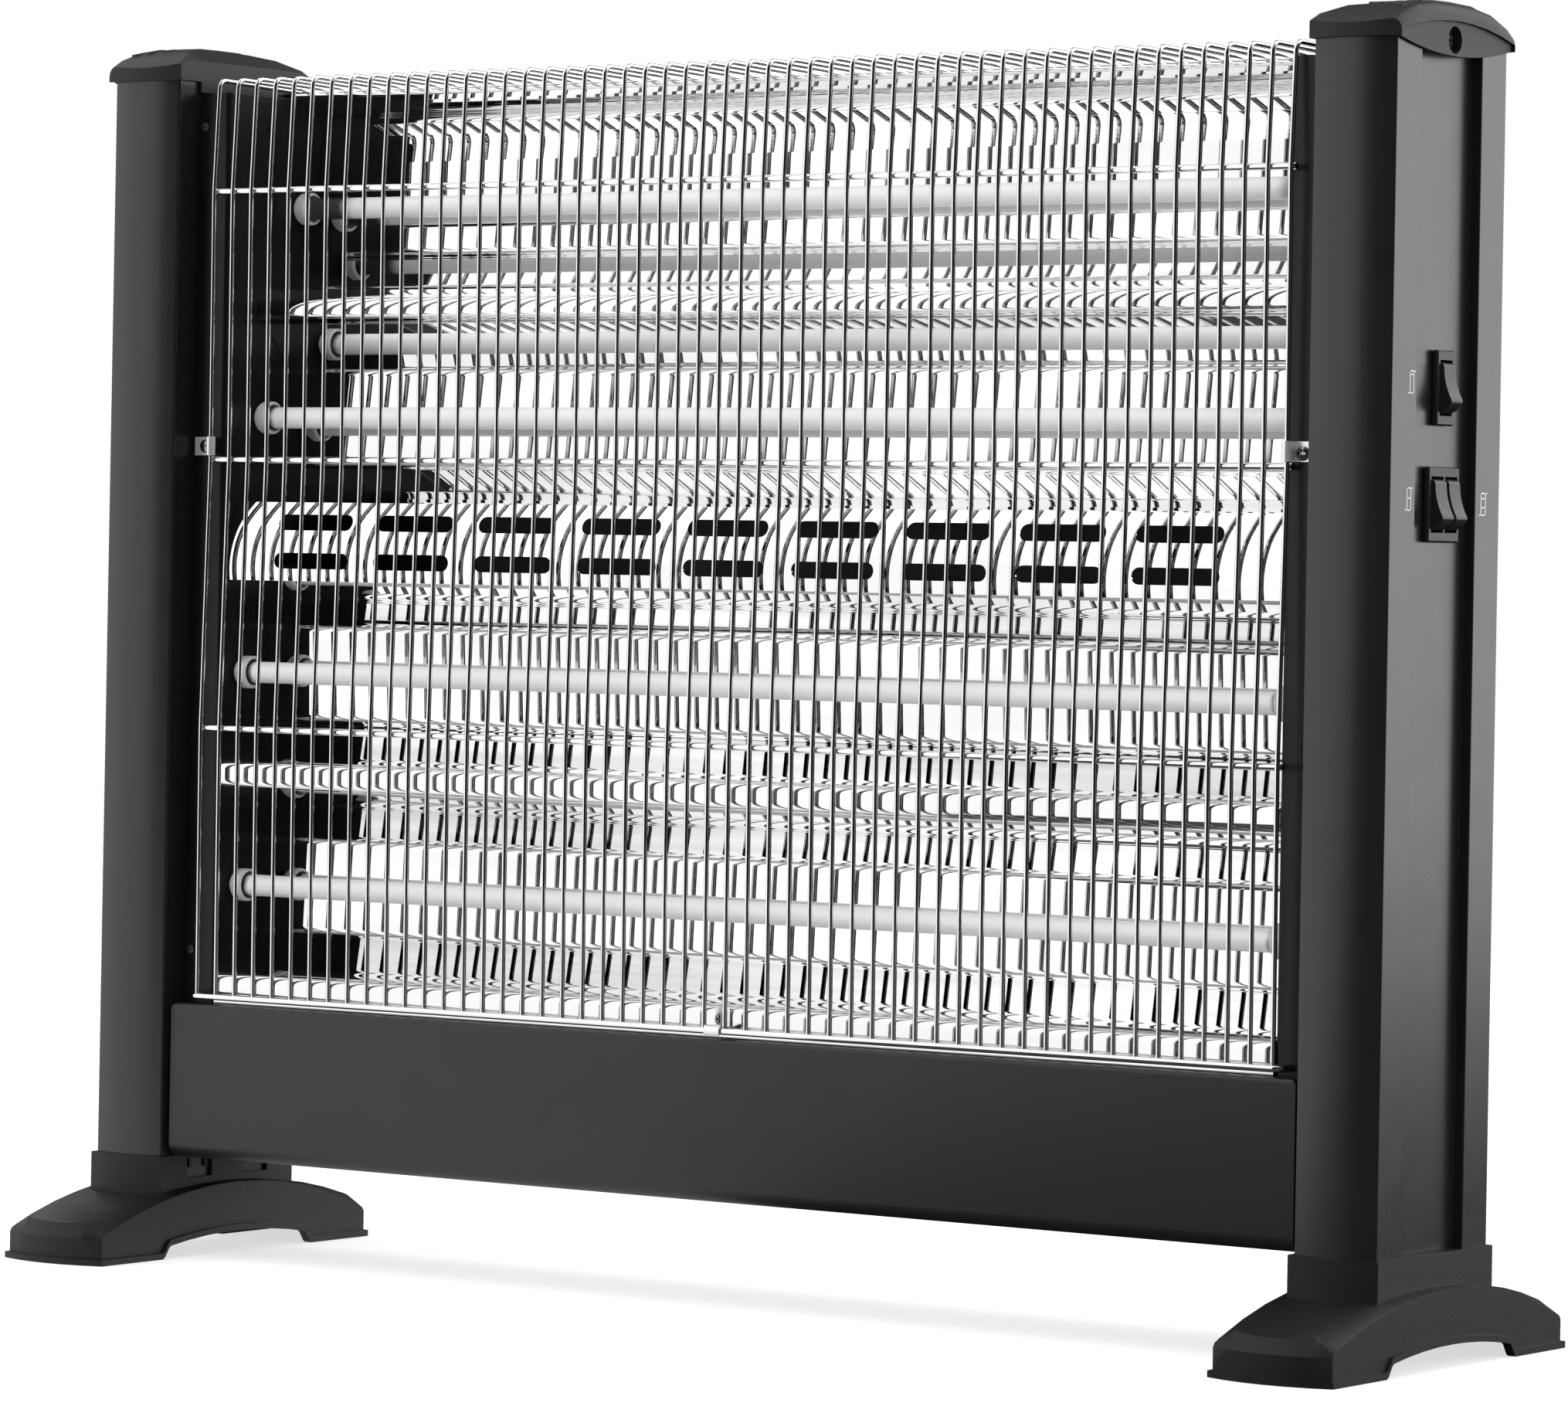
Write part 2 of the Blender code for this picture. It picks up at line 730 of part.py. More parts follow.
def foot_form(name, inset):
    """Outer form of the foot, or the same form drawn in and lowered by an inset."""
    half_length = FOOT_LENGTH / 2 - RIM_PROUD - inset
    half_width = FOOT_WIDTH / 2 - RIM_PROUD - inset
    rise = SIDE_CREST + OVERRUN
    back = (rise - FOOT_END) * SHOULDER_RUN / SHOULDER_RISE
    plans = [foot_plan(half_length, half_width, -OVERRUN / 2 - inset)]
    plans.append(foot_plan(half_length, half_width, FOOT_END - inset))
    plans.append(foot_plan(half_length - back, half_width, rise - inset))
    form = loft(name, plans)
    ends = FOOT_LENGTH / 2 + FOOT_BOW + OVERRUN
    steps = 12
    rows = [-ends + 2 * ends * step / steps for step in range(steps + 1)]
    crown = loft(name + "_crown", [foot_section(y, half_width, inset) for y in rows])
    return keep_inside(form, crown)


def build_feet():
    foot = foot_form("right_foot", 0)
    ends = FOOT_LENGTH / 2 + FOOT_BOW + OVERRUN

    # The rim stands proud round the bottom and follows the arch
    rim_plan = foot_plan(FOOT_LENGTH / 2, FOOT_WIDTH / 2, 0)
    rim = slab("foot_rim", [(x, y) for x, y, z in rim_plan], "XY", -0.002, 0.02)
    line = [(y, arch_height(y) + RIM_HEIGHT) for y in arch_stations()]
    band = [(-ends, -0.005), (-ends, RIM_HEIGHT)] + line + [(ends, RIM_HEIGHT), (ends, -0.005)]
    across = (FOOT_X - FOOT_WIDTH, FOOT_X + FOOT_WIDTH)
    keep_inside(rim, slab("foot_rim_band", band, "YZ", *across))
    join(foot, rim)

    outline = post_outline(-(COLLAR_WALL + CLEAR), False)
    join(foot, slab("foot_collar", outline, "XY", POST_ROOT - 0.004, COLLAR_TOP))
    line = [(y, arch_height(y)) for y in arch_stations()]
    under = [(-ends, -0.01), (-ends, 0)] + line + [(ends, 0), (ends, -0.01)]
    cut(foot, slab("foot_arch", under, "YZ", *across))
    cut(foot, slab("foot_socket", post_outline(-CLEAR), "XY", POST_ROOT, COLLAR_TOP + 0.02))
    inner = POST_INNER - COLLAR_WALL - CLEAR
    top = COLLAR_TOP - WINDOW_DROP
    for side in (-1, 1):
        low = (inner - 0.002, side * WINDOW_Y - WINDOW_WIDTH / 2, top - WINDOW_HEIGHT)
        high = (POST_INNER - CLEAR / 2, side * WINDOW_Y + WINDOW_WIDTH / 2, top)
        cut(foot, box("foot_window", low, high))

    # The foot is a moulded shell, open from below, with a floor under the post
    hollow = foot_form("foot_hollow", FOOT_WALL)
    floor = POST_ROOT - FOOT_WALL
    room = box("foot_room", (across[0], -ends, -FOOT_WIDTH), (across[1], ends, floor))
    keep_inside(hollow, room)
    cut(foot, hollow)
    left = mirrored(foot, "left_foot")
    finish(foot, "dark_plastic")
    finish(left, "dark_plastic")


# Sheet metal

def build_front_panel():
    rear = COVER_Y - CLEAR
    flange = FLANGE_Y - CLEAR
    top = HOUSING_TOP
    path = [(flange, top), (FACE_Y, top), (FACE_Y, HOUSING_BASE), (rear, HOUSING_BASE)]
    upper = rounded(path[:3], PANEL_FOLD, 3)[:-1]
    lower = rounded(path[1:], PANEL_BEND, 6)[1:]
    panel = sheet("front_panel", upper + lower, "YZ", -PANEL_X, PANEL_X, SHEET, -1)
    beyond = PANEL_X + OVERRUN
    above = top + OVERRUN
    for side in (-1, 1):
        corner = [(side * (PANEL_X - PANEL_CORNER - OVERRUN), above)]
        corner += [(side * beyond, top - PANEL_CORNER - OVERRUN), (side * beyond, above)]
        cut(panel, slab("panel_corner", corner, "XZ", FACE_Y - OVERRUN, flange + OVERRUN))
    finish(panel, "dark_paint")


def build_rear_cover():
    outer = COVER_Y + SHEET
    edge = outer - COVER_LIP
    top = BODY_TOP + CLEAR + SHEET
    path = rounded([(edge, top), (outer, top), (outer, HOUSING_BASE)], BEND, 4)
    cover = sheet("rear_cover", path, "YZ", -PANEL_X, PANEL_X, SHEET, 1)
    for row in (VENT_BASE, VENT_TOP):
        cut(cover, slot_row("cover_slots", row, COVER_Y - OVERRUN, outer + OVERRUN))
    hole = (INLET_X, COVER_Y, HOUSING_BASE + INLET_LEVEL)
    radius = INLET_RADIUS + CLEAR
    cut(cover, cylinder("inlet_hole", hole, (0, 1, 0), radius, 2 * OVERRUN, 16))
    finish(cover, "dark_paint")


def slot_row(name, z, start, end):
    """Row of round-ended slots as one cutter."""
    cells = []
    for index in range(SLOT_COLUMNS):
        x = (index - (SLOT_COLUMNS - 1) / 2) * SLOT_PITCH
        cells.append(slab(name, stadium(x, z, SLOT_LENGTH, SLOT_HEIGHT), "XZ", start, end))
    shape = bmesh.new()
    for cell in cells:
        cell.data.transform(cell.matrix_world)
        shape.from_mesh(cell.data)
    mesh = bpy.data.meshes.new(name)
    shape.to_mesh(mesh)
    shape.free()
    for cell in cells:
        bpy.data.objects.remove(cell)
    return add_object(name, mesh)


def plate_path(side):
    edge = POST_INNER - CLEAR
    path = [(edge, FLANGE_Y), (PLATE_X, FLANGE_Y), (PLATE_X, COVER_Y - CLEAR)]
    return [(side * x, y) for x, y in rounded(path, BEND, 4)]


def build_end_plates():
    base = HOUSING_BASE + SHEET + CLEAR
    top = CAP_BASE - SKIRT_DROP - CLEAR
    plate = sheet("right_end_plate", plate_path(1), "XY", base, top, SHEET, 1)
    middle = PLATE_X + SHEET / 2
    length = SHEET + 2 * SHEET
    for index in range(4):
        hole = (middle, TUBE_Y[index], TUBE_Z[index])
        cut(plate, cylinder("boss_hole", hole, (1, 0, 0), BOSS_RADIUS + CLEAR, length, 12))
    passage = (middle, 0, HOUSING_BASE + WIRING_LEVEL)
    cut(plate, cylinder("wiring_hole", passage, (1, 0, 0), WIRING_HOLE, length, 12))
    left = mirrored(plate, "left_end_plate")
    finish(plate, "black_plate")
    finish(left, "black_plate")


def facet(index):
    """Low and high corners of a trough's back facet."""
    low = (BACK_Y[index], TUBE_Z[index] - FACET_HEIGHT / 2)
    high = (BACK_Y[index] - FACET_LEAN, TUBE_Z[index] + FACET_HEIGHT / 2)
    return low, high


def vent_path():
    heights = (VENT_BASE, VENT_BASE + 0.69 * (VENT_TOP - VENT_BASE), VENT_TOP)
    knots = [(FLANGE_Y + inset, z) for inset, z in zip(VENT_INSETS, heights)]
    return quadratic(knots, 8)


def quadratic(knots, steps):
    """Smooth line through three points given in order of height."""
    (y0, z0), (y1, z1), (y2, z2) = knots
    line = []
    for step in range(steps + 1):
        z = z0 + (z2 - z0) * step / steps
        first = y0 * (z - z1) * (z - z2) / ((z0 - z1) * (z0 - z2))
        second = y1 * (z - z0) * (z - z2) / ((z1 - z0) * (z1 - z2))
        third = y2 * (z - z0) * (z - z1) / ((z2 - z0) * (z2 - z1))
        line.append((first + second + third, z))
    return line


def bend_path(corners):
    """Path through corners that each carry their own bend radius."""
    points = [corner[:2] for corner in corners]
    path = [points[0]]
    for index in range(1, len(points) - 1):
        radius = corners[index][2]
        trio = [points[index - 1], points[index], points[index + 1]]
        path += rounded(trio, radius, 4)[1:-1]
    path.append(points[-1])
    return path


def build_reflectors():
    lap = BRIGHT_SHEET + CLEAR
    strip = vent_path()
    low_y = strip[0][0] + lap
    high_y = strip[-1][0] + lap
    low_lap_y = strip[1][0] + lap
    high_lap_y = strip[-2][0] + lap
    facets = [facet(index) for index in range(4)]
    lower_ridge = (FLANGE_Y + LOWER_RIDGE_INSET, (TUBE_Z[0] + TUBE_Z[1]) / 2, RIDGE_RADIUS)
    upper_ridge = (FLANGE_Y + UPPER_RIDGE_INSET, (TUBE_Z[2] + TUBE_Z[3]) / 2, RIDGE_RADIUS)
    lip_y = FLANGE_Y + LIP_INSET
    lower = [
        (lip_y, LIP_BASE, 0),
        (lip_y, LIP_BASE + LIP_HEIGHT, FOLD_RADIUS),
        (*facets[0][0], FOLD_RADIUS),
        (*facets[0][1], FOLD_RADIUS),
        lower_ridge,
        (*facets[1][0], FOLD_RADIUS),
        (*facets[1][1], FOLD_RADIUS),
        (low_y, VENT_BASE, BRIGHT_SHEET),
        (low_lap_y, VENT_BASE + VENT_LAP, 0),
    ]
    upper = [
        (high_lap_y, VENT_TOP - VENT_LAP, 0),
        (high_y, VENT_TOP, BRIGHT_SHEET),
        (*facets[2][0], FOLD_RADIUS),
        (*facets[2][1], FOLD_RADIUS),
        upper_ridge,
        (*facets[3][0], FOLD_RADIUS),
        (*facets[3][1], FOLD_RADIUS),
        (FLANGE_Y + TOP_LIP_INSET, BODY_TOP, TOP_LIP_RADIUS),
        (FLANGE_Y + TOP_LIP_INSET + TOP_LIP_DEPTH, BODY_TOP, 0),
    ]
    span = (-REFLECTOR_X, REFLECTOR_X)
    for name, corners in (("lower_reflector", lower), ("upper_reflector", upper)):
        finish(sheet(name, bend_path(corners), "YZ", *span, BRIGHT_SHEET, 1), "bright_sheet")
    vent = sheet("vent_strip", strip, "YZ", *span, BRIGHT_SHEET, 1)
    middle = (VENT_BASE + VENT_TOP) / 2
    for side in (-1, 1):
        row = middle + side * SLOT_ROW_GAP / 2
        start = strip[0][0] - OVERRUN
        end = strip[-1][0] + OVERRUN
        cut(vent, slot_row("vent_slots", row, start, end))
    finish(vent, "bright_sheet")


# Tubes, coils and holders

def build_tubes():
    pocket = TUBE_RADIUS + CLEAR
    floor = CUP_FLOOR + CLEAR
    tube_end = CUP_BACK - floor
    for index in range(4):
        number = str(4 - index)
        centre = (0, TUBE_Y[index], TUBE_Z[index])
        ring = [
            (TUBE_RADIUS, tube_end),
            (TUBE_RADIUS, -tube_end),
            (TUBE_BORE, -tube_end),
            (TUBE_BORE, tube_end),
        ]
        tube = turned("quartz_tube_" + number, ring, centre, (1, 0, 0), 12)
        finish(smooth(tube), "milky_quartz")
        ends = [(x, TUBE_Y[index], TUBE_Z[index]) for x in (-tube_end, tube_end)]
        coil = wires("heating_coil_" + number, [ends], TUBE_BORE - CLEAR, 2)
        finish(coil, "resistance_wire")
        length = CUP_BACK - CUP_FACE
        reach = length + CLEAR + SHEET + BOSS_REACH
        cup = [
            (0, reach),
            (BOSS_RADIUS, reach),
            (BOSS_RADIUS, length),
            (CUP_RADIUS - CUP_SHOULDER, length),
            (CUP_RADIUS, CUP_LENGTH),
            (CUP_RADIUS, 0),
            (pocket, 0),
            (pocket, length - CUP_FLOOR),
            (0, length - CUP_FLOOR),
        ]
        for side, word in ((-1, "left"), (1, "right")):
            origin = (side * CUP_FACE, TUBE_Y[index], TUBE_Z[index])
            name = "tube_holder_" + word + "_" + number
            finish(turned(name, cup, origin, (side, 0, 0), 10), "ceramic")


# Guard and its clips

def upright_path(x):
    crest = BODY_TOP + CLEAR + WIRE_RADIUS
    tail = (COVER_Y - GUARD_TAIL, crest)
    corner = (FLANGE_Y - GUARD_TOP_REACH - GUARD_BEND / 8, crest + GUARD_CREST)
    knots = [tail, corner, (GUARD_Y[3], ROD_Z[3])]
    path = rounded(knots, GUARD_BEND, 1)
    path += [(GUARD_Y[step], ROD_Z[step]) for step in (2, 1, 0)]
    return [(x, y, z) for y, z in path]


def build_guard():
    pitch = 2 * GUARD_X / (WIRE_COUNT - 1)
    places = [-GUARD_X + index * pitch for index in range(WIRE_COUNT)]
    guard = wires("guard", [upright_path(x) for x in places], WIRE_RADIUS, 0)
    rods = []
    behind = WIRE_RADIUS + ROD_RADIUS - WELD
    for step in (1, 2, 3):
        y = GUARD_Y[step] + behind
        end = GUARD_X + ROD_RADIUS
        rods.append([(-end, y, ROD_Z[step]), (end, y, ROD_Z[step])])
    end = PLATE_X + ROD_END
    front = GUARD_Y[0]
    back = FLANGE_Y - CLEAR
    plan = rounded([(0, front), (end, front), (end, back)], ROD_HOOK, 3)
    half = [(x, y, ROD_Z[0]) for x, y in plan[1:]]
    rods.append([(-x, y, z) for x, y, z in reversed(half)] + half)
    join(guard, wires("guard_rods", rods, ROD_RADIUS, 0))
    finish(guard, "chrome_wire")


def hug(centre, radius, start, end, steps):
    """Arc round a wire, in degrees from the first axis of its plane."""
    line = []
    for step in range(steps + 1):
        angle = math.radians(start + (end - start) * step / steps)
        line.append((centre[0] + radius * math.cos(angle), centre[1] + radius * math.sin(angle)))
    return line


def build_clips():
    base = ROD_Z[2] + ROD_RADIUS + CLEAR
    wire = (GUARD_X, GUARD_Y[2])
    grip = WIRE_RADIUS + CLEAR
    plate_y = FLANGE_Y - CLEAR - CLIP_SHEET
    outer = PANEL_X
    shoulder = GUARD_X + grip + CLIP_SHEET
    path = [(outer, plate_y), (shoulder, plate_y)] + hug(wire, grip + CLIP_SHEET, 0, -200, 8)
    clip = sheet("right_guard_clip", path, "XY", base, base + CLIP_HEIGHT, CLIP_SHEET, 1)
    left = mirrored(clip, "left_guard_clip")
    finish(clip, "clip_steel")
    finish(left, "clip_steel")

    pitch = 2 * GUARD_X / (WIRE_COUNT - 1)
    rod = (GUARD_Y[0], ROD_Z[0])
    grip = ROD_RADIUS + CLEAR
    lip_y = FLANGE_Y + LIP_INSET - CLEAR
    top = LIP_BASE + LIP_HEIGHT
    path = [(lip_y, top), (lip_y, top + grip - LOWER_CLIP_HEIGHT)] + hug(rod, grip, 80, 230, 7)
    start = pitch / 2 - LOWER_CLIP_WIDTH / 2
    lower = sheet("lower_guard_clip", path, "YZ", start, start + LOWER_CLIP_WIDTH, CLIP_SHEET, 1)
    finish(lower, "clip_steel")


# Switches

def switch_body_half(count):
    return (count - 1) * ROCKER_PITCH / 2 + ROCKER_WIDTH / 2 + CLEAR + SWITCH_WALL


def build_switch(name, centre_z, rockers):
    count = len(rockers)
    face = RECESS_X + BEZEL_THICKNESS
    body = switch_body_half(count)
    border = body + BEZEL_BORDER - SWITCH_WALL
    low = (RECESS_X + CLEAR, SWITCH_Y - border, centre_z - BEZEL_HEIGHT / 2)
    high = (face, SWITCH_Y + border, centre_z + BEZEL_HEIGHT / 2)
    housing = edge_bevel(box(name, low, high), 0.0006, 1)
    tall = OPENING_HALF + SWITCH_WALL
    low = (RECESS_X - SWITCH_DEPTH, SWITCH_Y - body, centre_z - tall)
    high = (RECESS_X + 0.001, SWITCH_Y + body, centre_z + tall)
    join(housing, box(name + "_body", low, high))
    for index, rocker in enumerate(rockers):
        y = SWITCH_Y + (index - (count - 1) / 2) * ROCKER_PITCH
        half = ROCKER_WIDTH / 2 + CLEAR
        low = (RECESS_X - SWITCH_DEPTH + SWITCH_WALL, y - half, centre_z - OPENING_HALF)
        high = (face + 0.01, y + half, centre_z + OPENING_HALF)
        cut(housing, box(name + "_opening", low, high))
        build_rocker(rocker, (PIVOT_X, y, centre_z))
    pivot = (PIVOT_X, SWITCH_Y, centre_z)
    width = 2 * (body - SWITCH_WALL + PIVOT_REACH)
    cut(housing, cylinder(name + "_pivot", pivot, (0, 1, 0), PIVOT_RADIUS + CLEAR, width, 12))
    finish(housing, "switch_plastic")


def build_rocker(name, pivot):
    nose = ROCKER_NOSE
    points = []
    arc_steps = 4
    for step in range(arc_steps + 1):
        angle = ROCKER_SWEEP + (nose - ROCKER_SWEEP) * step / arc_steps
        points.append((ROCKER_RADIUS * math.cos(angle), ROCKER_RADIUS * math.sin(angle)))
    flat = ROCKER_RADIUS * math.cos(nose)
    high = ROCKER_RADIUS * math.sin(nose)
    dish_steps = 6
    for step in range(1, dish_steps):
        share = 1 - 2 * step / dish_steps
        points.append((flat - ROCKER_DISH * (1 - share * share), high * share))
    points += [(x, -z) for x, z in reversed(points[:arc_steps + 1])]
    rocker = slab(name, points, "XZ", -ROCKER_WIDTH / 2, ROCKER_WIDTH / 2)
    length = ROCKER_WIDTH + 2 * PIVOT_REACH
    pin = cylinder(name + "_pin", (0, 0, 0), (0, 1, 0), PIVOT_RADIUS, length, 10)
    rocker.data.transform(rocker.matrix_world)
    rocker.matrix_world = Matrix.Identity(4)
    join(rocker, pin)
    for obj in (rocker, pin):
        obj.location = pivot
    rocker.rotation_euler = (0, -ROCKER_TILT, 0)
    finish(rocker, "switch_plastic")


# Inside and behind

def build_terminal_block():
    floor = HOUSING_BASE + SHEET + CLEAR
    wide, deep, tall = BLOCK_SIZE
    block = box("terminal_block", (-wide / 2, -deep / 2, floor), (wide / 2, deep / 2, floor + tall))
    for index in range(4):
        x = (index - 1.5) * wide / 4.5
        low = (x - wide / 14, -deep / 2 + SHEET, floor + tall * 0.6)
        high = (x + wide / 14, deep / 2 - SHEET, floor + tall * 1.2)
        cut(block, box("terminal_pocket", low, high))
    finish(block, "block_plastic")


def build_tilt_switch():
    floor = HOUSING_BASE + SHEET + CLEAR
    wide, deep, tall = TILT_SIZE
    x = BLOCK_SIZE[0] + wide
    y = WIRING_RADIUS + CLEAR + deep / 2
    low = (x - wide / 2, y - deep / 2, floor)
    high = (x + wide / 2, y + deep / 2, floor + tall)
    case = edge_bevel(box("tilt_switch", low, high), 0.001, 1)
    stem = (x, y, floor + tall)
    join(case, cylinder("tilt_stem", stem, (0, 0, 1), deep / 5, tall / 3, 10))
    finish(case, "block_plastic")


def build_thermal_cutout():
    back = FLANGE_Y + LIP_INSET + BRIGHT_SHEET + CLEAR
    origin = (GUARD_X / 2, back, LIP_BASE + CUTOUT_RADIUS)
    rim = CUTOUT_RADIUS
    profile = [
        (rim * 0.5, CUTOUT_LENGTH),
        (rim * 0.8, CUTOUT_LENGTH * 0.7),
        (rim * 0.8, CUTOUT_LENGTH * 0.3),
        (rim, CUTOUT_LENGTH * 0.3),
        (rim, 0),
        (rim * 0.2, 0),
        (rim * 0.2, CUTOUT_LENGTH),
    ]
    finish(turned("thermal_cutout", profile, origin, (0, 1, 0), 10), "block_plastic")


def wiring_route():
    """Lead from the terminal block through the end plate and up past the holders."""
    run_x = PLATE_X + SHEET + BOSS_REACH + CLEAR + WIRING_RADIUS
    level = HOUSING_BASE + WIRING_LEVEL
    corners = [(BLOCK_SIZE[0] / 2 + CLEAR, 0, level), (run_x, 0, level)]
    for index in range(4):
        corners.append((run_x, TUBE_Y[index], TUBE_Z[index]))
    points = [Vector(corner) for corner in corners]
    route = [points[0]]
    for index in range(1, len(points) - 1):
        last = points[index - 1] - points[index]
        after = points[index + 1] - points[index]
        reach = min(0.010, last.length / 3, after.length / 3)
        start = points[index] + last.normalized() * reach
        end = points[index] + after.normalized() * reach
        for step in range(3):
            share = step / 2
            route.append((1 - share) ** 2 * start + 2 * share * (1 - share) * points[index]
                         + share ** 2 * end)
    route.append(points[-1])
    return route


def build_wiring():
    right = wiring_route()
    left = [(-x, y, z) for x, y, z in right]
    for name, route in (("left_wiring", left), ("right_wiring", right)):
        finish(wires(name, [route], WIRING_RADIUS, 1), "lead_sleeve")


def build_cable_inlet():
    outer = SHEET + CLEAR
    profile = [
        (INLET_FLANGE * 0.8, outer + 0.0022),
        (INLET_FLANGE, outer + 0.0012),
        (INLET_FLANGE, outer),
        (INLET_RADIUS, outer),
        (INLET_RADIUS, -0.003),
        (INLET_BORE, -0.003),
        (INLET_BORE, outer + 0.0022),
    ]
    origin = (INLET_X, COVER_Y, HOUSING_BASE + INLET_LEVEL)
    finish(turned("cable_inlet", profile, origin, (0, 1, 0), 12), "rubber")


build_posts()
build_caps()
build_feet()
build_front_panel()
build_rear_cover()
build_end_plates()
build_reflectors()
build_tubes()
build_guard()
build_clips()
build_switch("single_switch", SINGLE_Z, ["single_rocker"])
build_switch("twin_switch", TWIN_Z, ["front_rocker", "rear_rocker"])
build_terminal_block()
build_tilt_switch()
build_thermal_cutout()
build_wiring()
build_cable_inlet()
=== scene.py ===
import math

import bmesh
import bpy
from mathutils import Matrix, Vector


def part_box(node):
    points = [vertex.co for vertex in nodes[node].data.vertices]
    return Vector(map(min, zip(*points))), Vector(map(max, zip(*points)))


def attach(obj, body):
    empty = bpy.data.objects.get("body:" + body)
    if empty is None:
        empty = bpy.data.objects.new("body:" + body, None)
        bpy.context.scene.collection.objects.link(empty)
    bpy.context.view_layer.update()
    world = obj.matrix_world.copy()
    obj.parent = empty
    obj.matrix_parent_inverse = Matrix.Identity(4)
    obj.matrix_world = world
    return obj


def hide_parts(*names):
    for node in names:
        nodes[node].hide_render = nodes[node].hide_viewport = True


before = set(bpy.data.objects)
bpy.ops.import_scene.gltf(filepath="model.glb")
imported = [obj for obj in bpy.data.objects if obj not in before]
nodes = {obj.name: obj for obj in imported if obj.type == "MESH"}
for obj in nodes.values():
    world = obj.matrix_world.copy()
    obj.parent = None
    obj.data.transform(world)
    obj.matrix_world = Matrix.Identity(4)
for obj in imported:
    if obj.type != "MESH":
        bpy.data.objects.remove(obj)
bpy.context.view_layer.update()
heater = "heater"
scene = bpy.context.scene
print("frame loaded:", len(nodes), "nodes")


def linkedObject(name, data):
    obj = bpy.data.objects.new(name, data)
    scene.collection.objects.link(obj)
    return obj


# Camera: same place, turn and lens as the photograph
camera = {
    "place": (1.60465, -2.26603, 0.30927),
    "tilt": 0.23057717,
    "roll": -1.0199453,
    "yaw": 35.1391063,
    "lens": 151.0425,
    "sensor": 36,
    "shiftY": -0.10318,
    "clipEnd": 50,
}


def makeCamera():
    data = bpy.data.cameras.new("photoCamera")
    data.sensor_width = camera["sensor"]
    data.lens = camera["lens"]
    data.shift_y = camera["shiftY"]
    data.clip_end = camera["clipEnd"]
    scene.camera = linkedObject("photoCamera", data)
    yawTurn = Matrix.Rotation(math.radians(camera["yaw"]), 4, "Z")
    tiltTurn = Matrix.Rotation(math.radians(camera["tilt"]), 4, "X")
    rollTurn = Matrix.Rotation(math.radians(camera["roll"]), 4, "Y")
    lookAhead = Matrix.Rotation(math.radians(90), 4, "X")  # a camera looks down its own -Z
    scene.camera.matrix_world = (Matrix.Translation(camera["place"]) @ yawTurn @ tiltTurn
                                 @ rollTurn @ lookAhead)


makeCamera()
print("camera set")


# Shader maths written as plain expressions
class Signal:
    def __init__(self, tree, socket):
        self.tree = tree
        self.socket = socket

    def math(self, operation, other=None, flipped=False):
        node = self.tree.nodes.new("ShaderNodeMath")
        node.operation = operation
        terms = [self] if other is None else [self, other]
        if flipped:
            terms.reverse()
        for term, entry in zip(terms, node.inputs):
            if isinstance(term, Signal):
                self.tree.links.new(term.socket, entry)
            else:
                entry.default_value = term
        return Signal(self.tree, node.outputs[0])

    def __add__(self, other):
        return self.math("ADD", other)

    def __radd__(self, other):
        return self.math("ADD", other, True)

    def __sub__(self, other):
        return self.math("SUBTRACT", other)

    def __rsub__(self, other):
        return self.math("SUBTRACT", other, True)

    def __mul__(self, other):
        return self.math("MULTIPLY", other)

    def __rmul__(self, other):
        return self.math("MULTIPLY", other, True)

    def __truediv__(self, other):
        return self.math("DIVIDE", other)

    def __pow__(self, other):
        return self.math("POWER", other)

    def greater(self, other):
        return self.math("MAXIMUM", other)


class NodePen:
    def __init__(self, tree):
        self.tree = tree

    def node(self, kind, settings=None, sockets=None, output=0):  # a tuple asks for several
        made = self.tree.nodes.new(kind)
        for key, value in (settings or {}).items():
            setattr(made, key, value)
        for key, value in (sockets or {}).items():
            if isinstance(value, Signal):
                self.tree.links.new(value.socket, made.inputs[key])
            else:
                made.inputs[key].default_value = value
        if isinstance(output, tuple):
            return [Signal(self.tree, made.outputs[key]) for key in output]
        return Signal(self.tree, made.outputs[output])

    def split(self, place):
        return self.node("ShaderNodeSeparateXYZ", {}, {0: place}, ("X", "Y", "Z"))

    def coords(self, stretch=(1, 1, 1)):
        place = self.node("ShaderNodeTexCoord", output="Object")
        return self.node("ShaderNodeMapping", {}, {"Vector": place, "Scale": stretch})

    def noise(self, scale, detail=2, roughness=0.5, stretch=(1, 1, 1)):
        return self.node("ShaderNodeTexNoise", {}, {
            "Vector": self.coords(stretch), "Scale": scale, "Detail": detail,
            "Roughness": roughness}, "Fac")

    def ramp(self, signal, edges):  # 0 below the first edge, 1 above the second, smooth between
        return self.node("ShaderNodeMapRange", {"interpolation_type": "SMOOTHSTEP"}, {
            "Value": signal, "From Min": edges[0], "From Max": edges[1],
            "To Min": 0.0, "To Max": 1.0})

    def tint(self, share, first, second):
        shades = [shade if isinstance(shade, Signal) else (*shade, 1)
                  for shade in (first, second)]
        return self.node("ShaderNodeMix", {"data_type": "RGBA"}, {
            0: share, 6: shades[0], 7: shades[1]}, 2)

    def bump(self, height, distance, strength=1.0):
        return self.node("ShaderNodeBump", {}, {
            "Height": height, "Distance": distance, "Strength": strength})


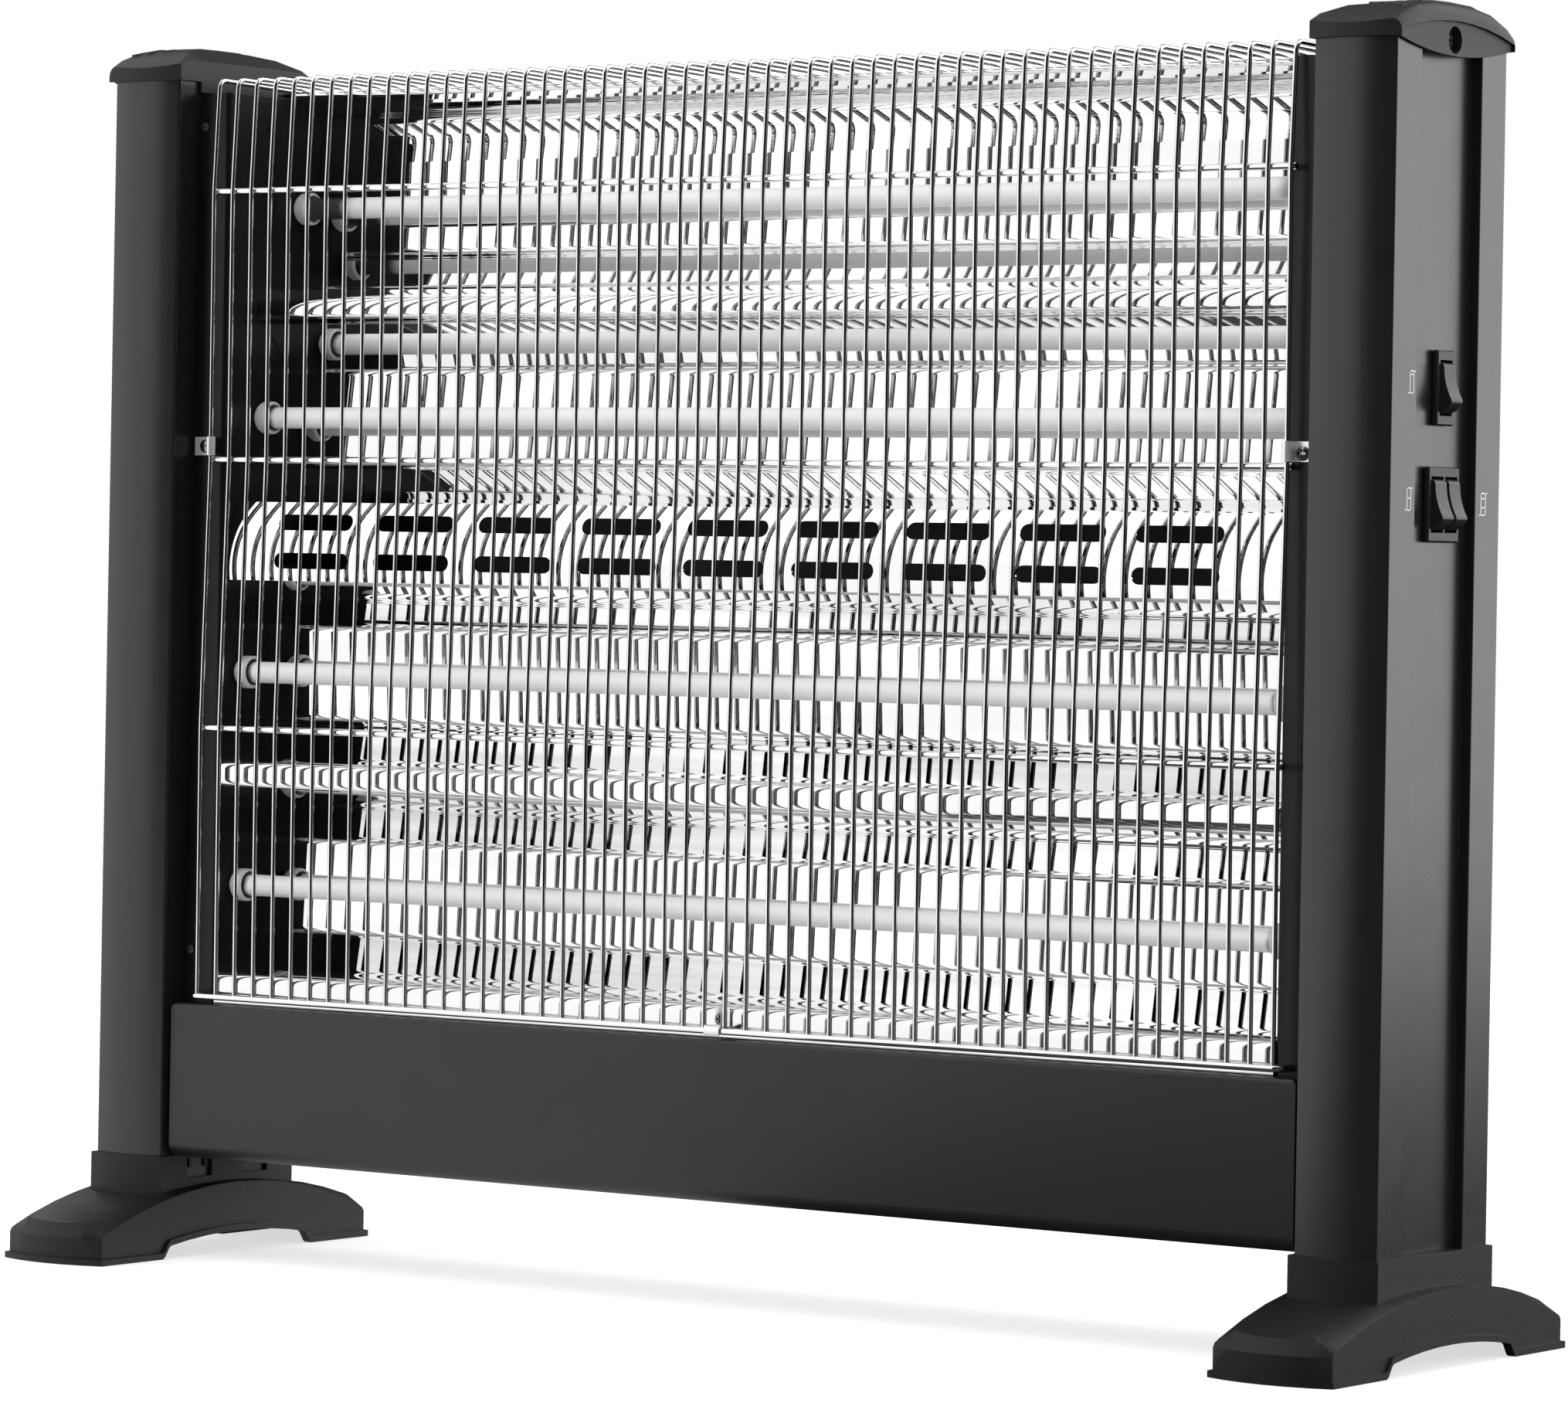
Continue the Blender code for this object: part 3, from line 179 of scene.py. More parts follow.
class Finish(NodePen):
    def __init__(self, name, fixed):
        self.material = bpy.data.materials.new(name)
        self.material.use_nodes = True
        super().__init__(self.material.node_tree)
        self.shader = self.tree.nodes["Principled BSDF"]
        for label, value in fixed.items():
            self.shader.inputs[label].default_value = value

    def feed(self, label, signal):
        self.tree.links.new(signal.socket, self.shader.inputs[label])

    def dress(self, colour, roughness, relief=None):
        self.feed("Base Color", colour)
        self.feed("Roughness", roughness)
        if relief:
            self.feed("Normal", relief)
        return self.material


def grey(tone):
    return (tone,) * 3


def between(pair, share):  # from the first value to the second
    return pair[0] + (pair[1] - pair[0]) * share


# Finishes, named for what they cover
paintLook = {
    "dark": (0.0075, 0.0077, 0.0081), "light": (0.0105, 0.0107, 0.0112), "cloudScale": 9,
    "roughness": (0.24, 0.32), "wearScale": 60, "gloss": 0.55,
    "peel": 0.00002, "peelScale": 520, "peelStrength": 0.8,
}
panelLook = dict(paintLook, roughness=(0.39, 0.47), peelScale=640)
enamelLook = {
    "dark": grey(0.0028), "light": grey(0.0055), "cloudScale": 30,
    "roughness": (0.30, 0.40), "wearScale": 45, "gloss": 0.3,
    "peel": 0.00005, "peelScale": 420, "peelStrength": 0.6,
}


def paintFinish(name, look):
    finish = Finish(name, {"Specular IOR Level": look["gloss"]})
    cloud = finish.noise(look["cloudScale"], 3)
    peel = finish.noise(look["peelScale"])
    return finish.dress(finish.tint(cloud, look["dark"], look["light"]),
                        between(look["roughness"], finish.noise(look["wearScale"], 4)),
                        finish.bump(peel, look["peel"], look["peelStrength"]))


grainLook = {
    "dark": (0.0072, 0.0074, 0.0077), "light": (0.0110, 0.0112, 0.0116), "cloudScale": 14,
    "cloudShare": 0.6, "roughness": (0.45, 0.55), "gloss": 0.30,
    "grain": 0.00012, "grainScale": 1300, "grainStrength": 0.9,
}


def grainFinish(name, look):
    finish = Finish(name, {"Specular IOR Level": look["gloss"]})
    cloud = finish.noise(look["cloudScale"], 3)
    grain = finish.noise(look["grainScale"], 3, 0.6)
    blend = cloud * look["cloudShare"] + grain * (1 - look["cloudShare"])
    return finish.dress(finish.tint(blend, look["dark"], look["light"]),
                        between(look["roughness"], grain),
                        finish.bump(grain, look["grain"], look["grainStrength"]))


mirrorLook = {
    "tone": 0.97, "dull": 0.80, "streakScale": 16, "streakStretch": (0.14, 1, 2.5),
    "streakEdges": (0.38, 0.62), "roughness": (0.012, 0.032), "smearScale": 22,
    "smearEdges": (0.48, 0.75), "wave": 0.0016, "waveScale": 5.5, "waveStretch": (0.7, 1, 1),
}


def mirrorFinish(name, look):
    finish = Finish(name, {"Metallic": 1.0})
    wave = finish.noise(look["waveScale"], 0, 0.4, look["waveStretch"])
    streak = finish.noise(look["streakScale"], 3, 0.5, look["streakStretch"])
    streak = finish.ramp(streak, look["streakEdges"])
    smear = finish.ramp(finish.noise(look["smearScale"], 3), look["smearEdges"])
    return finish.dress(finish.tint(streak, grey(look["tone"]), grey(look["dull"])),
                        between(look["roughness"], smear), finish.bump(wave, look["wave"]))


chromeLook = {"dragScale": 900, "dragTone": 0.9}


def chromeFinish(name, tone, roughness, drawn=(1, 1, 1), metal=1.0):
    finish = Finish(name, {"Metallic": metal})
    drag = finish.noise(chromeLook["dragScale"], stretch=drawn)
    shade = finish.tint(drag, grey(tone), grey(tone * chromeLook["dragTone"]))
    return finish.dress(shade, between(roughness, drag))


quartzLook = {
    # clear: the colour of the tube's clear ends, a painted shade and painted dark reflection of
    # the end plates, not the quartz's own colour
    "dark": (0.92, 0.925, 0.93), "light": (0.97, 0.972, 0.974), "clear": (0.045, 0.045, 0.047),
    "cloudScale": 40, "cloudStretch": (0.25, 1, 1), "fineScale": 900,
    "fineStretch": (0.05, 1, 1), "edgeWave": 0.003, "edgeScale": 160,
    "roughness": (0.32, 0.42), "coat": (0.55, 0.65), "coatRoughness": 0.06, "coatIor": 1.46,
}


def quartzFinish(name, clearShadeEdges):  # the milky colour fades out towards the tube's ends into a dark colour: the ends are clear quartz, and the dark is painted shade and painted reflection of the end plates
    look = quartzLook
    finish = Finish(name, {"Coat Roughness": look["coatRoughness"],
                           "Coat IOR": look["coatIor"]})
    cloud = finish.noise(look["cloudScale"], 3, 0.5, look["cloudStretch"])
    fine = finish.noise(look["fineScale"], stretch=look["fineStretch"])
    milky = finish.tint(cloud, look["dark"], look["light"])
    along = finish.split(finish.coords())[0].math("ABSOLUTE")
    along = along + look["edgeWave"] * finish.noise(look["edgeScale"])
    finish.feed("Coat Weight", between(look["coat"], cloud))
    # the ramp paints the dark shade onto both ends of the tube
    return finish.dress(finish.tint(finish.ramp(along, clearShadeEdges), milky, look["clear"]),
                        between(look["roughness"], fine))


mouldedLook = {"cloudScale": 50, "speckScale": 1300, "grain": 0.00004, "grainStrength": 0.6,
               "gloss": 0.5}
ceramicChanges = {"cloudScale": 120, "speckScale": 1600, "grain": 0.00008, "grainStrength": 0.7}


def mouldedFinish(name, dark, light, roughness, **changes):
    look = dict(mouldedLook, **changes)
    finish = Finish(name, {"Specular IOR Level": look["gloss"]})
    speck = finish.noise(look["speckScale"])
    cloud = finish.noise(look["cloudScale"], 3)
    return finish.dress(finish.tint(cloud, dark, light), between(roughness, speck),
                        finish.bump(speck, look["grain"], look["grainStrength"]))


sleeveLook = {"dark": (0.52, 0.50, 0.44), "light": (0.70, 0.68, 0.61), "roughness": (0.7, 0.8),
              "braidScale": 420.0, "braidWander": 0.6, "braid": 0.0002, "braidStrength": 0.7}


def sleeveFinish(name, look):
    finish = Finish(name, {})
    braid = finish.node("ShaderNodeTexWave", {"bands_direction": "DIAGONAL"}, {
        "Vector": finish.coords(), "Scale": look["braidScale"],
        "Distortion": look["braidWander"]}, "Fac")
    return finish.dress(finish.tint(braid, look["dark"], look["light"]),
                        between(look["roughness"], braid),
                        finish.bump(braid, look["braid"], look["braidStrength"]))


postPaint = paintFinish("postPaint", paintLook)
panelPaint = paintFinish("panelPaint", panelLook)
mouldGrain = grainFinish("mouldGrain", grainLook)
plateEnamel = paintFinish("plateEnamel", enamelLook)
mirrorSheet = mirrorFinish("mirrorSheet", mirrorLook)
wireChrome = chromeFinish("wireChrome", 0.88, (0.03, 0.08), (1, 1, 0.02))
clipSteel = chromeFinish("clipSteel", 0.92, (0.22, 0.27), metal=0.7)
screwSteel = chromeFinish("screwSteel", 0.36, (0.14, 0.19))
screwBlack = mouldedFinish("screwBlack", grey(0.030), grey(0.045), (0.22, 0.30))
# both tube finishes paint a dark shade on the ends; the second, for the top tube, paints a
# longer one
milkyQuartz = quartzFinish("milkyQuartz", (0.2625, 0.2660))
longShadeQuartz = quartzFinish("longShadeQuartz", (0.2390, 0.2490))
holderCeramic = mouldedFinish("holderCeramic", (0.56, 0.56, 0.55), (0.68, 0.68, 0.67),
                              (0.55, 0.70), **ceramicChanges)
coilWire = mouldedFinish("coilWire", (0.20, 0.17, 0.15), (0.28, 0.25, 0.22), (0.41, 0.49))
switchBlack = mouldedFinish("switchBlack", grey(0.010), grey(0.015), (0.32, 0.40), gloss=0.28)
rockerBlack = mouldedFinish("rockerBlack", grey(0.010), grey(0.015), (0.26, 0.34),
                            grain=0.00002, gloss=0.28)
blockPlastic = mouldedFinish("blockPlastic", (0.52, 0.50, 0.44), (0.62, 0.60, 0.54),
                             (0.51, 0.59))
inletRubber = mouldedFinish("inletRubber", grey(0.012), grey(0.02), (0.58, 0.66))
signPrint = mouldedFinish("signPrint", grey(0.74), grey(0.82), (0.46, 0.54), grain=0.00001)
leadSleeve = sleeveFinish("leadSleeve", sleeveLook)
print("finishes made:", len(bpy.data.materials))


# Small tools for making pieces
def newPiece(name, mesh, material, replaced=(), body=heater):
    piece = linkedObject(name, mesh)
    mesh.materials.clear()
    mesh.materials.append(material)
    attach(piece, body)
    if replaced:
        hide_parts(*replaced)


def bakedMesh(obj):  # the work object goes, and its finished mesh is kept
    bpy.context.view_layer.update()
    graph = bpy.context.evaluated_depsgraph_get()
    mesh = bpy.data.meshes.new_from_object(obj.evaluated_get(graph))
    bpy.data.objects.remove(obj)
    return mesh


def meshFrom(shape, name):
    mesh = bpy.data.meshes.new(name)
    shape.to_mesh(mesh)
    shape.free()
    return mesh


def softenEdges(mesh, width, segments=2, angle=35):
    obj = linkedObject("soften", mesh)
    mesh.shade_smooth()
    bevel = obj.modifiers.new("bevel", "BEVEL")
    bevel.width = width
    bevel.segments = segments
    bevel.limit_method = "ANGLE"
    bevel.angle_limit = math.radians(angle)
    bevel.harden_normals = True
    return bakedMesh(obj)


def smoothMesh(mesh, angle):
    mesh.shade_smooth()
    mesh.set_sharp_from_angle(angle=math.radians(angle))
    return mesh


def smoothSheet(mesh, angle=40):
    obj = linkedObject("weigh", smoothMesh(mesh, angle))
    weigh = obj.modifiers.new("weigh", "WEIGHTED_NORMAL")
    weigh.keep_sharp = True
    return bakedMesh(obj)


def cutAway(mesh, cutterMeshes):
    obj = linkedObject("cut", mesh)
    cutters = [linkedObject("cutter", cutter) for cutter in cutterMeshes]
    for cutter in cutters:
        cut = obj.modifiers.new("cut", "BOOLEAN")
        cut.operation = "DIFFERENCE"
        cut.solver = "EXACT"
        cut.object = cutter
    result = bakedMesh(obj)
    for cutter in cutters:
        bpy.data.objects.remove(cutter)
    return result


def mergedCopy(nodeName, weld=0.00001, flatAngle=0.8):
    shape = bmesh.new()
    shape.from_mesh(nodes[nodeName].data)
    bmesh.ops.remove_doubles(shape, verts=shape.verts, dist=weld)
    bmesh.ops.dissolve_limit(shape, angle_limit=math.radians(flatAngle), verts=shape.verts,
                             edges=shape.edges)
    mesh = meshFrom(shape, nodeName)
    if "custom_normal" in mesh.attributes:
        mesh.attributes.remove(mesh.attributes["custom_normal"])
    return mesh


def middleOf(nodeName):
    low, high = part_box(nodeName)
    return (low + high) / 2


def addBlock(shape, size, centre):
    made = bmesh.ops.create_cube(shape, size=1.0)["verts"]
    bmesh.ops.scale(shape, vec=size, verts=made)
    bmesh.ops.translate(shape, vec=centre, verts=made)


def polyline(name, points):
    mesh = bpy.data.meshes.new(name)
    mesh.from_pydata(points, [(i, i + 1) for i in range(len(points) - 1)], [])
    return mesh


def pointMesh(name, rows):  # rows of place, facing and size, read by the screw tree
    mesh = bpy.data.meshes.new(name)
    mesh.from_pydata([row[0] for row in rows], [], [])
    mesh.attributes.new("facing", "FLOAT_VECTOR", "POINT")
    mesh.attributes.new("size", "FLOAT", "POINT")
    for index, row in enumerate(rows):
        mesh.attributes["facing"].data[index].vector = row[1]
        mesh.attributes["size"].data[index].value = row[2]
    return mesh


def turnedMesh(name, profile, sides, weld=0.000001):  # profile of (radius, height), round Z
    shape = bmesh.new()
    turns = [2 * math.pi * step / sides for step in range(sides)]
    rings = [[shape.verts.new((radius * math.cos(turn), radius * math.sin(turn), height))
              for turn in turns] for radius, height in profile]
    for ring, following in zip(rings, rings[1:]):
        for index in range(sides):  # index - 1 closes the ring
            shape.faces.new((ring[index - 1], ring[index], following[index],
                             following[index - 1]))
    bmesh.ops.remove_doubles(shape, verts=shape.verts, dist=weld)
    bmesh.ops.recalc_face_normals(shape, faces=shape.faces)
    return meshFrom(shape, name)


def joinMeshes(name, meshes):
    shape = bmesh.new()
    for mesh in meshes:
        shape.from_mesh(mesh)
    return meshFrom(shape, name)


# Geometry Nodes trees
def startTree(name, inputs):
    tree = bpy.data.node_groups.new(name, "GeometryNodeTree")
    tree.interface.new_socket("Geometry", in_out="INPUT", socket_type="NodeSocketGeometry")
    for label, kind in inputs:
        tree.interface.new_socket(label, in_out="INPUT", socket_type="NodeSocket" + kind)
    tree.interface.new_socket("Geometry", in_out="OUTPUT", socket_type="NodeSocketGeometry")
    return tree, tree.nodes.new("NodeGroupInput").outputs


def treeNode(tree, kind, settings, links, output=0):
    node = tree.nodes.new(kind)
    for key, value in settings.items():
        setattr(node, key, value)
    for key, value in links.items():
        if isinstance(value, bpy.types.NodeSocket):
            tree.links.new(value, node.inputs[key])
        else:
            node.inputs[key].default_value = value
    return node.outputs[output]


def endTree(tree, shape, material):
    real = treeNode(tree, "GeometryNodeRealizeInstances", {}, {"Geometry": shape})
    painted = treeNode(tree, "GeometryNodeSetMaterial", {}, {
        "Geometry": real, "Material": material})
    tree.links.new(painted, tree.nodes.new("NodeGroupOutput").inputs[0])
    return tree


def repeated(tree, shape, count, step):  # copies of a shape on a straight line
    line = treeNode(tree, "GeometryNodeMeshLine", {"mode": "OFFSET"}, {
        "Count": count, "Offset": step})
    copies = treeNode(tree, "GeometryNodeInstanceOnPoints", {}, {
        "Points": line, "Instance": shape})
    return treeNode(tree, "GeometryNodeRealizeInstances", {}, {"Geometry": copies})


def roundSkin(tree, curve, radius, sides):  # a curve with a round section
    ring = treeNode(tree, "GeometryNodeCurvePrimitiveCircle", {}, {
        "Resolution": sides, "Radius": radius})
    return treeNode(tree, "GeometryNodeCurveToMesh", {}, {
        "Curve": curve, "Profile Curve": ring, "Fill Caps": True})


def wireTree():  # repeats a drawn line and gives it a round section
    tree, given = startTree("wireTree", [
        ("Count", "Int"), ("Step", "Vector"), ("Radius", "Float"), ("Sides", "Int"),
        ("Material", "Material")])
    lines = repeated(tree, given["Geometry"], given["Count"], given["Step"])
    curve = treeNode(tree, "GeometryNodeMeshToCurve", {}, {"Mesh": lines})
    skin = roundSkin(tree, curve, given["Radius"], given["Sides"])
    return endTree(tree, skin, given["Material"])


def rowTree():  # repeats a shape in columns and rows
    tree, given = startTree("rowTree", [
        ("Columns", "Int"), ("Column Step", "Vector"), ("Rows", "Int"), ("Row Step", "Vector"),
        ("Material", "Material")])
    column = repeated(tree, given["Geometry"], given["Columns"], given["Column Step"])
    shape = repeated(tree, column, given["Rows"], given["Row Step"])
    return endTree(tree, shape, given["Material"])


def screwTree():  # puts one object on points, turned to each point's facing
    tree, given = startTree("screwTree", [("Pattern", "Object"), ("Material", "Material")])
    facing = treeNode(tree, "GeometryNodeInputNamedAttribute", {"data_type": "FLOAT_VECTOR"}, {
        "Name": "facing"}, "Attribute")
    size = treeNode(tree, "GeometryNodeInputNamedAttribute", {"data_type": "FLOAT"}, {
        "Name": "size"}, "Attribute")
    turn = treeNode(tree, "FunctionNodeAlignRotationToVector", {"axis": "Z"}, {
        "Vector": facing})
    pattern = treeNode(tree, "GeometryNodeObjectInfo", {}, {
        "Object": given["Pattern"]}, "Geometry")
    copies = treeNode(tree, "GeometryNodeInstanceOnPoints", {}, {
        "Points": given["Geometry"], "Instance": pattern, "Rotation": turn, "Scale": size})
    return endTree(tree, copies, given["Material"])


def coilTree():  # a round wire wound on a line that runs along X
    tree, given = startTree("coilTree", [
        ("Turns", "Float"), ("Points Per Turn", "Int"), ("Coil Radius", "Float"),
        ("Length", "Float"), ("Wire Radius", "Float"), ("Wire Sides", "Int"),
        ("Material", "Material")])
    spiral = treeNode(tree, "GeometryNodeCurveSpiral", {}, {
        "Resolution": given["Points Per Turn"], "Rotations": given["Turns"],
        "Start Radius": given["Coil Radius"], "End Radius": given["Coil Radius"],
        "Height": given["Length"]})
    skin = roundSkin(tree, spiral, given["Wire Radius"], given["Wire Sides"])
    copies = treeNode(tree, "GeometryNodeInstanceOnPoints", {}, {
        "Points": given["Geometry"], "Instance": skin, "Rotation": (0, math.pi / 2, 0)})
    return endTree(tree, copies, given["Material"])


trees = {"wire": wireTree(), "row": rowTree(), "screw": screwTree(), "coil": coilTree()}


def grow(treeName, seed, values):
    obj = linkedObject("grow", seed)
    modifier = obj.modifiers.new("grow", "NODES")
    modifier.node_group = trees[treeName]
    for item in trees[treeName].interface.items_tree:
        if item.in_out == "INPUT" and item.name in values:
            modifier[item.identifier] = values[item.name]
    return bakedMesh(obj)


def wireMesh(points, radius, sides, material, count=1, step=(0, 0, 0)):
    return grow("wire", polyline("wireLine", points), {
        "Count": count, "Step": step, "Radius": radius, "Sides": sides, "Material": material})


def rowMesh(seed, material, columns, columnStep, rows=1, rowStep=(0, 0, 0)):
    return grow("row", seed, {
        "Columns": columns, "Column Step": columnStep, "Rows": rows, "Row Step": rowStep,
        "Material": material})


# Paths: rounded corners on a drawn line
def roundedCorner(before, corner, after, radius, steps, most=0.8):
    toLast = before - corner
    toNext = after - corner
    half = toLast.angle(toNext) / 2
    reach = min(radius / math.tan(half), most * toLast.length, most * toNext.length)
    actual = reach * math.tan(half)
    bisector = (toLast.normalized() + toNext.normalized()).normalized()
    centre = corner + bisector * (actual / math.sin(half))
    first = corner + toLast.normalized() * reach - centre
    last = corner + toNext.normalized() * reach - centre
    sweep = math.atan2(first.x * last.y - first.y * last.x, first.dot(last))
    return [centre + Matrix.Rotation(sweep * step / steps, 2) @ first
            for step in range(steps + 1)]


def bentPath(corners, steps):  # corners of (u, v, bend radius)
    points = [Vector(corner[:2]) for corner in corners]
    path = [points[0]]
    for index in range(1, len(points) - 1):
        path += roundedCorner(points[index - 1], points[index], points[index + 1],
                              corners[index][2], steps)
    return path + [points[-1]]


def sheetMesh(name, path, halfWidth, thickness):  # path in Y and Z, run along X
    shape = bmesh.new()
    left, right = [[shape.verts.new((x, y, z)) for y, z in path]
                   for x in (-halfWidth, halfWidth)]
    for index in range(len(path) - 1):
        shape.faces.new((left[index], left[index + 1], right[index + 1], right[index]))
    obj = linkedObject(name + "Sheet", meshFrom(shape, name))
    wall = obj.modifiers.new("wall", "SOLIDIFY")
    wall.thickness = thickness
    wall.offset = 1
    wall.use_even_offset = True
    return bakedMesh(obj)


# Reflector: two folded sheets and the slotted strip between them
tubeNumbers = "4321"  # from the lowest tube up
tubeCentres = [middleOf("quartz_tube_" + number) for number in tubeNumbers]
reflector = {
    "sheet": 0.0008, "gap": 0.0003, "foldRadius": 0.0055, "bendSteps": 10,
    "flangeY": -0.0305, "facetHeight": 0.0420, "leans": (-0.0012, 0.0006, -0.0028, -0.0022),
    "standoffs": (0.0182, 0.0177, 0.0177, 0.0130), "lipForward": 0.0007, "lipHeight": 0.0125,
    "lowerRidge": (0.0012, 0.0022, 0.0048, 0.0050),  # depth, rise, half the nose, its bend
    "upperRidge": ((0.0275, -0.0052, 0.0015), (0.0219, -0.0029, 0.0030),
                   (0.0219, 0.0078, 0.0140)),  # depth, rise and bend of each corner
    "topCreases": ((0.0014, -0.0184, 0.0040), (0.0028, -0.0098, 0.0040)),  # the same
    "topDepth": 0.0377, "topBend": 0.0012, "topRun": 0.0288,
}
vent = {
    "rise": 0.0408, "drop": 0.0376, "insets": (0.0034, 0.0059, 0.0098), "knot": 0.69,
    "steps": 20, "lap": 0.0042, "lapSteps": 8, "slotLength": 0.0415, "slotHeight": 0.0070,
    "slotPitch": 0.0556, "slotRowGap": 0.0169, "slotColumns": 9, "slotShift": -0.0022,
    "slotY": (-0.04, -0.01),
}


def ventLine(steps):  # a curve through three knots
    low = tubeCentres[1].z + vent["rise"]
    high = tubeCentres[2].z - vent["drop"]
    y0, y1, y2 = [reflector["flangeY"] + inset for inset in vent["insets"]]
    z0, z1, z2 = low, low + vent["knot"] * (high - low), high
    line = []
    for step in range(steps + 1):
        z = z0 + (z2 - z0) * step / steps
        y = (y0 * (z - z1) * (z - z2) / ((z0 - z1) * (z0 - z2))
             + y1 * (z - z0) * (z - z2) / ((z1 - z0) * (z1 - z2))
             + y2 * (z - z0) * (z - z1) / ((z2 - z0) * (z2 - z1)))
        line.append((y, z))
    return line


def stadiumPrism(name, length, height, start, end, arcSteps=8):
    radius = height / 2
    run = (length - height) / 2
    shape = bmesh.new()
    rim = []
    for side in (1, -1):
        for step in range(arcSteps + 1):
            angle = side * math.pi / 2 - math.pi * step / arcSteps
            rim.append((side * run + radius * math.cos(angle), radius * math.sin(angle)))
    front, back = [[shape.verts.new((x, y, z)) for x, z in rim] for y in (start, end)]
    for index in range(len(rim)):
        after = (index + 1) % len(rim)
        shape.faces.new((front[index], front[after], back[after], back[index]))
    shape.faces.new(front)
    shape.faces.new(back)
    bmesh.ops.recalc_face_normals(shape, faces=shape.faces)
    return meshFrom(shape, name)


def makeReflectors():
    part = reflector
    flangeY = part["flangeY"]
    fold = part["foldRadius"]
    lap = part["sheet"] + part["gap"]  # the sheets pass behind the strip's edges
    strip = ventLine(vent["lapSteps"])
    low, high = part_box("lower_reflector")
    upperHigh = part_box("upper_reflector")[1]
    facets = []
    for centre, gap, lean in zip(tubeCentres, part["standoffs"], part["leans"]):
        back = centre.y + lean / 2 + gap
        facets.append((back, centre.z - part["facetHeight"] / 2))
        facets.append((back - lean, centre.z + part["facetHeight"] / 2))

    lipY = flangeY - part["lipForward"]
    depth, rise, half, noseRadius = part["lowerRidge"]  # the lower ridge has a flat nose
    noseZ = (tubeCentres[0].z + tubeCentres[1].z) / 2 + rise
    nose = [(flangeY + depth, noseZ + side * half, noseRadius) for side in (-1, 1)]
    lower = [(lipY, low.z, 0), (lipY, low.z + part["lipHeight"], fold), (*facets[0], fold),
             (*facets[1], fold), *nose, (*facets[2], fold), (*facets[3], fold),
             (strip[0][0] + lap, strip[0][1], part["sheet"]),
             (strip[1][0] + lap, strip[0][1] + vent["lap"], 0)]

    topY = flangeY + part["topDepth"]
    ridgeZ = (tubeCentres[2].z + tubeCentres[3].z) / 2
    crest = [(flangeY + depth, ridgeZ + rise, bend)  # the upper ridge leans back
             for depth, rise, bend in part["upperRidge"]]
    creases = [(facets[7][0] + back, upperHigh.z + rise, bend)
               for back, rise, bend in part["topCreases"]]
    upper = [(strip[-2][0] + lap, strip[-1][1] - vent["lap"], 0),
             (strip[-1][0] + lap, strip[-1][1], part["sheet"]),
             (*facets[4], fold), (*facets[5], fold), *crest, (*facets[6], fold),
             (*facets[7], fold), *creases, (topY, upperHigh.z, part["topBend"]),
             (topY + part["topRun"], upperHigh.z, 0)]
    for name, node, corners in (("lowerReflector", "lower_reflector", lower),
                                ("upperReflector", "upper_reflector", upper)):
        path = [(point.x, point.y) for point in bentPath(corners, part["bendSteps"])]
        mesh = smoothSheet(sheetMesh(name, path, high.x, part["sheet"]))
        newPiece(name, mesh, mirrorSheet, [node])

    # The strip's slots are cut with two rows of cutters
    seed = stadiumPrism("slot", vent["slotLength"], vent["slotHeight"], *vent["slotY"])
    middle = (strip[0][1] + strip[-1][1]) / 2
    left = vent["slotShift"] - (vent["slotColumns"] - 1) / 2 * vent["slotPitch"]
    seed.transform(Matrix.Translation((left, 0, middle - vent["slotRowGap"] / 2)))
    slots = rowMesh(seed, mirrorSheet, vent["slotColumns"], (vent["slotPitch"], 0, 0),
                    2, (0, 0, vent["slotRowGap"]))
    mesh = sheetMesh("ventStrip", ventLine(vent["steps"]), high.x, part["sheet"])
    newPiece("ventStrip", smoothSheet(cutAway(mesh, [slots])), mirrorSheet,
             ["vent_strip"])


makeReflectors()
print("reflector made")


# Tubes, coils and their ceramic holders
tube = {"radius": 0.00475, "sides": 32, "smoothAngle": 50, "coilRadius": 0.0024,
        "coilWire": 0.00028, "coilSides": 5, "coilTurns": 150.0, "coilPoints": 9,
        "coilSmoothAngle": 60}


def makeTubes():
    low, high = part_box("quartz_tube_1")
    for number, centre in zip(tubeNumbers, tubeCentres):
        # the top tube takes the finish with the longer painted shade at its ends
        finish = longShadeQuartz if number == "1" else milkyQuartz
        mesh = wireMesh([(low.x, centre.y, centre.z), (high.x, centre.y, centre.z)],
                        tube["radius"], tube["sides"], finish)
        newPiece("quartzTube" + number, smoothMesh(mesh, tube["smoothAngle"]), finish,
                 ["quartz_tube_" + number])
    names = ["heating_coil_" + number for number in sorted(tubeNumbers)]
    coilLow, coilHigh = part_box(names[0])
    seeds = bpy.data.meshes.new("coilStarts")
    seeds.from_pydata([(coilLow.x, centre.y, centre.z) for centre in tubeCentres], [], [])
    coils = grow("coil", seeds, {
        "Turns": tube["coilTurns"], "Points Per Turn": tube["coilPoints"],
        "Coil Radius": tube["coilRadius"], "Length": coilHigh.x - coilLow.x,
        "Wire Radius": tube["coilWire"], "Wire Sides": tube["coilSides"],
        "Material": coilWire})
    newPiece("heatingCoils", smoothMesh(coils, tube["coilSmoothAngle"]), coilWire,
             names)


holder = {"radius": 0.0072, "cup": 0.0052, "shoulder": 0.0026, "shoulderTop": 0.0004,
          "shoulderRise": 0.0012, "edge": 0.0008, "step": 0.0002, "floor": 0.0032,
          "pocket": 0.0058, "mouth": 0.0003, "mouthDepth": 0.0004, "boss": 0.00375,
          "bossReach": 0.0040, "sides": 32, "smoothAngle": 30}


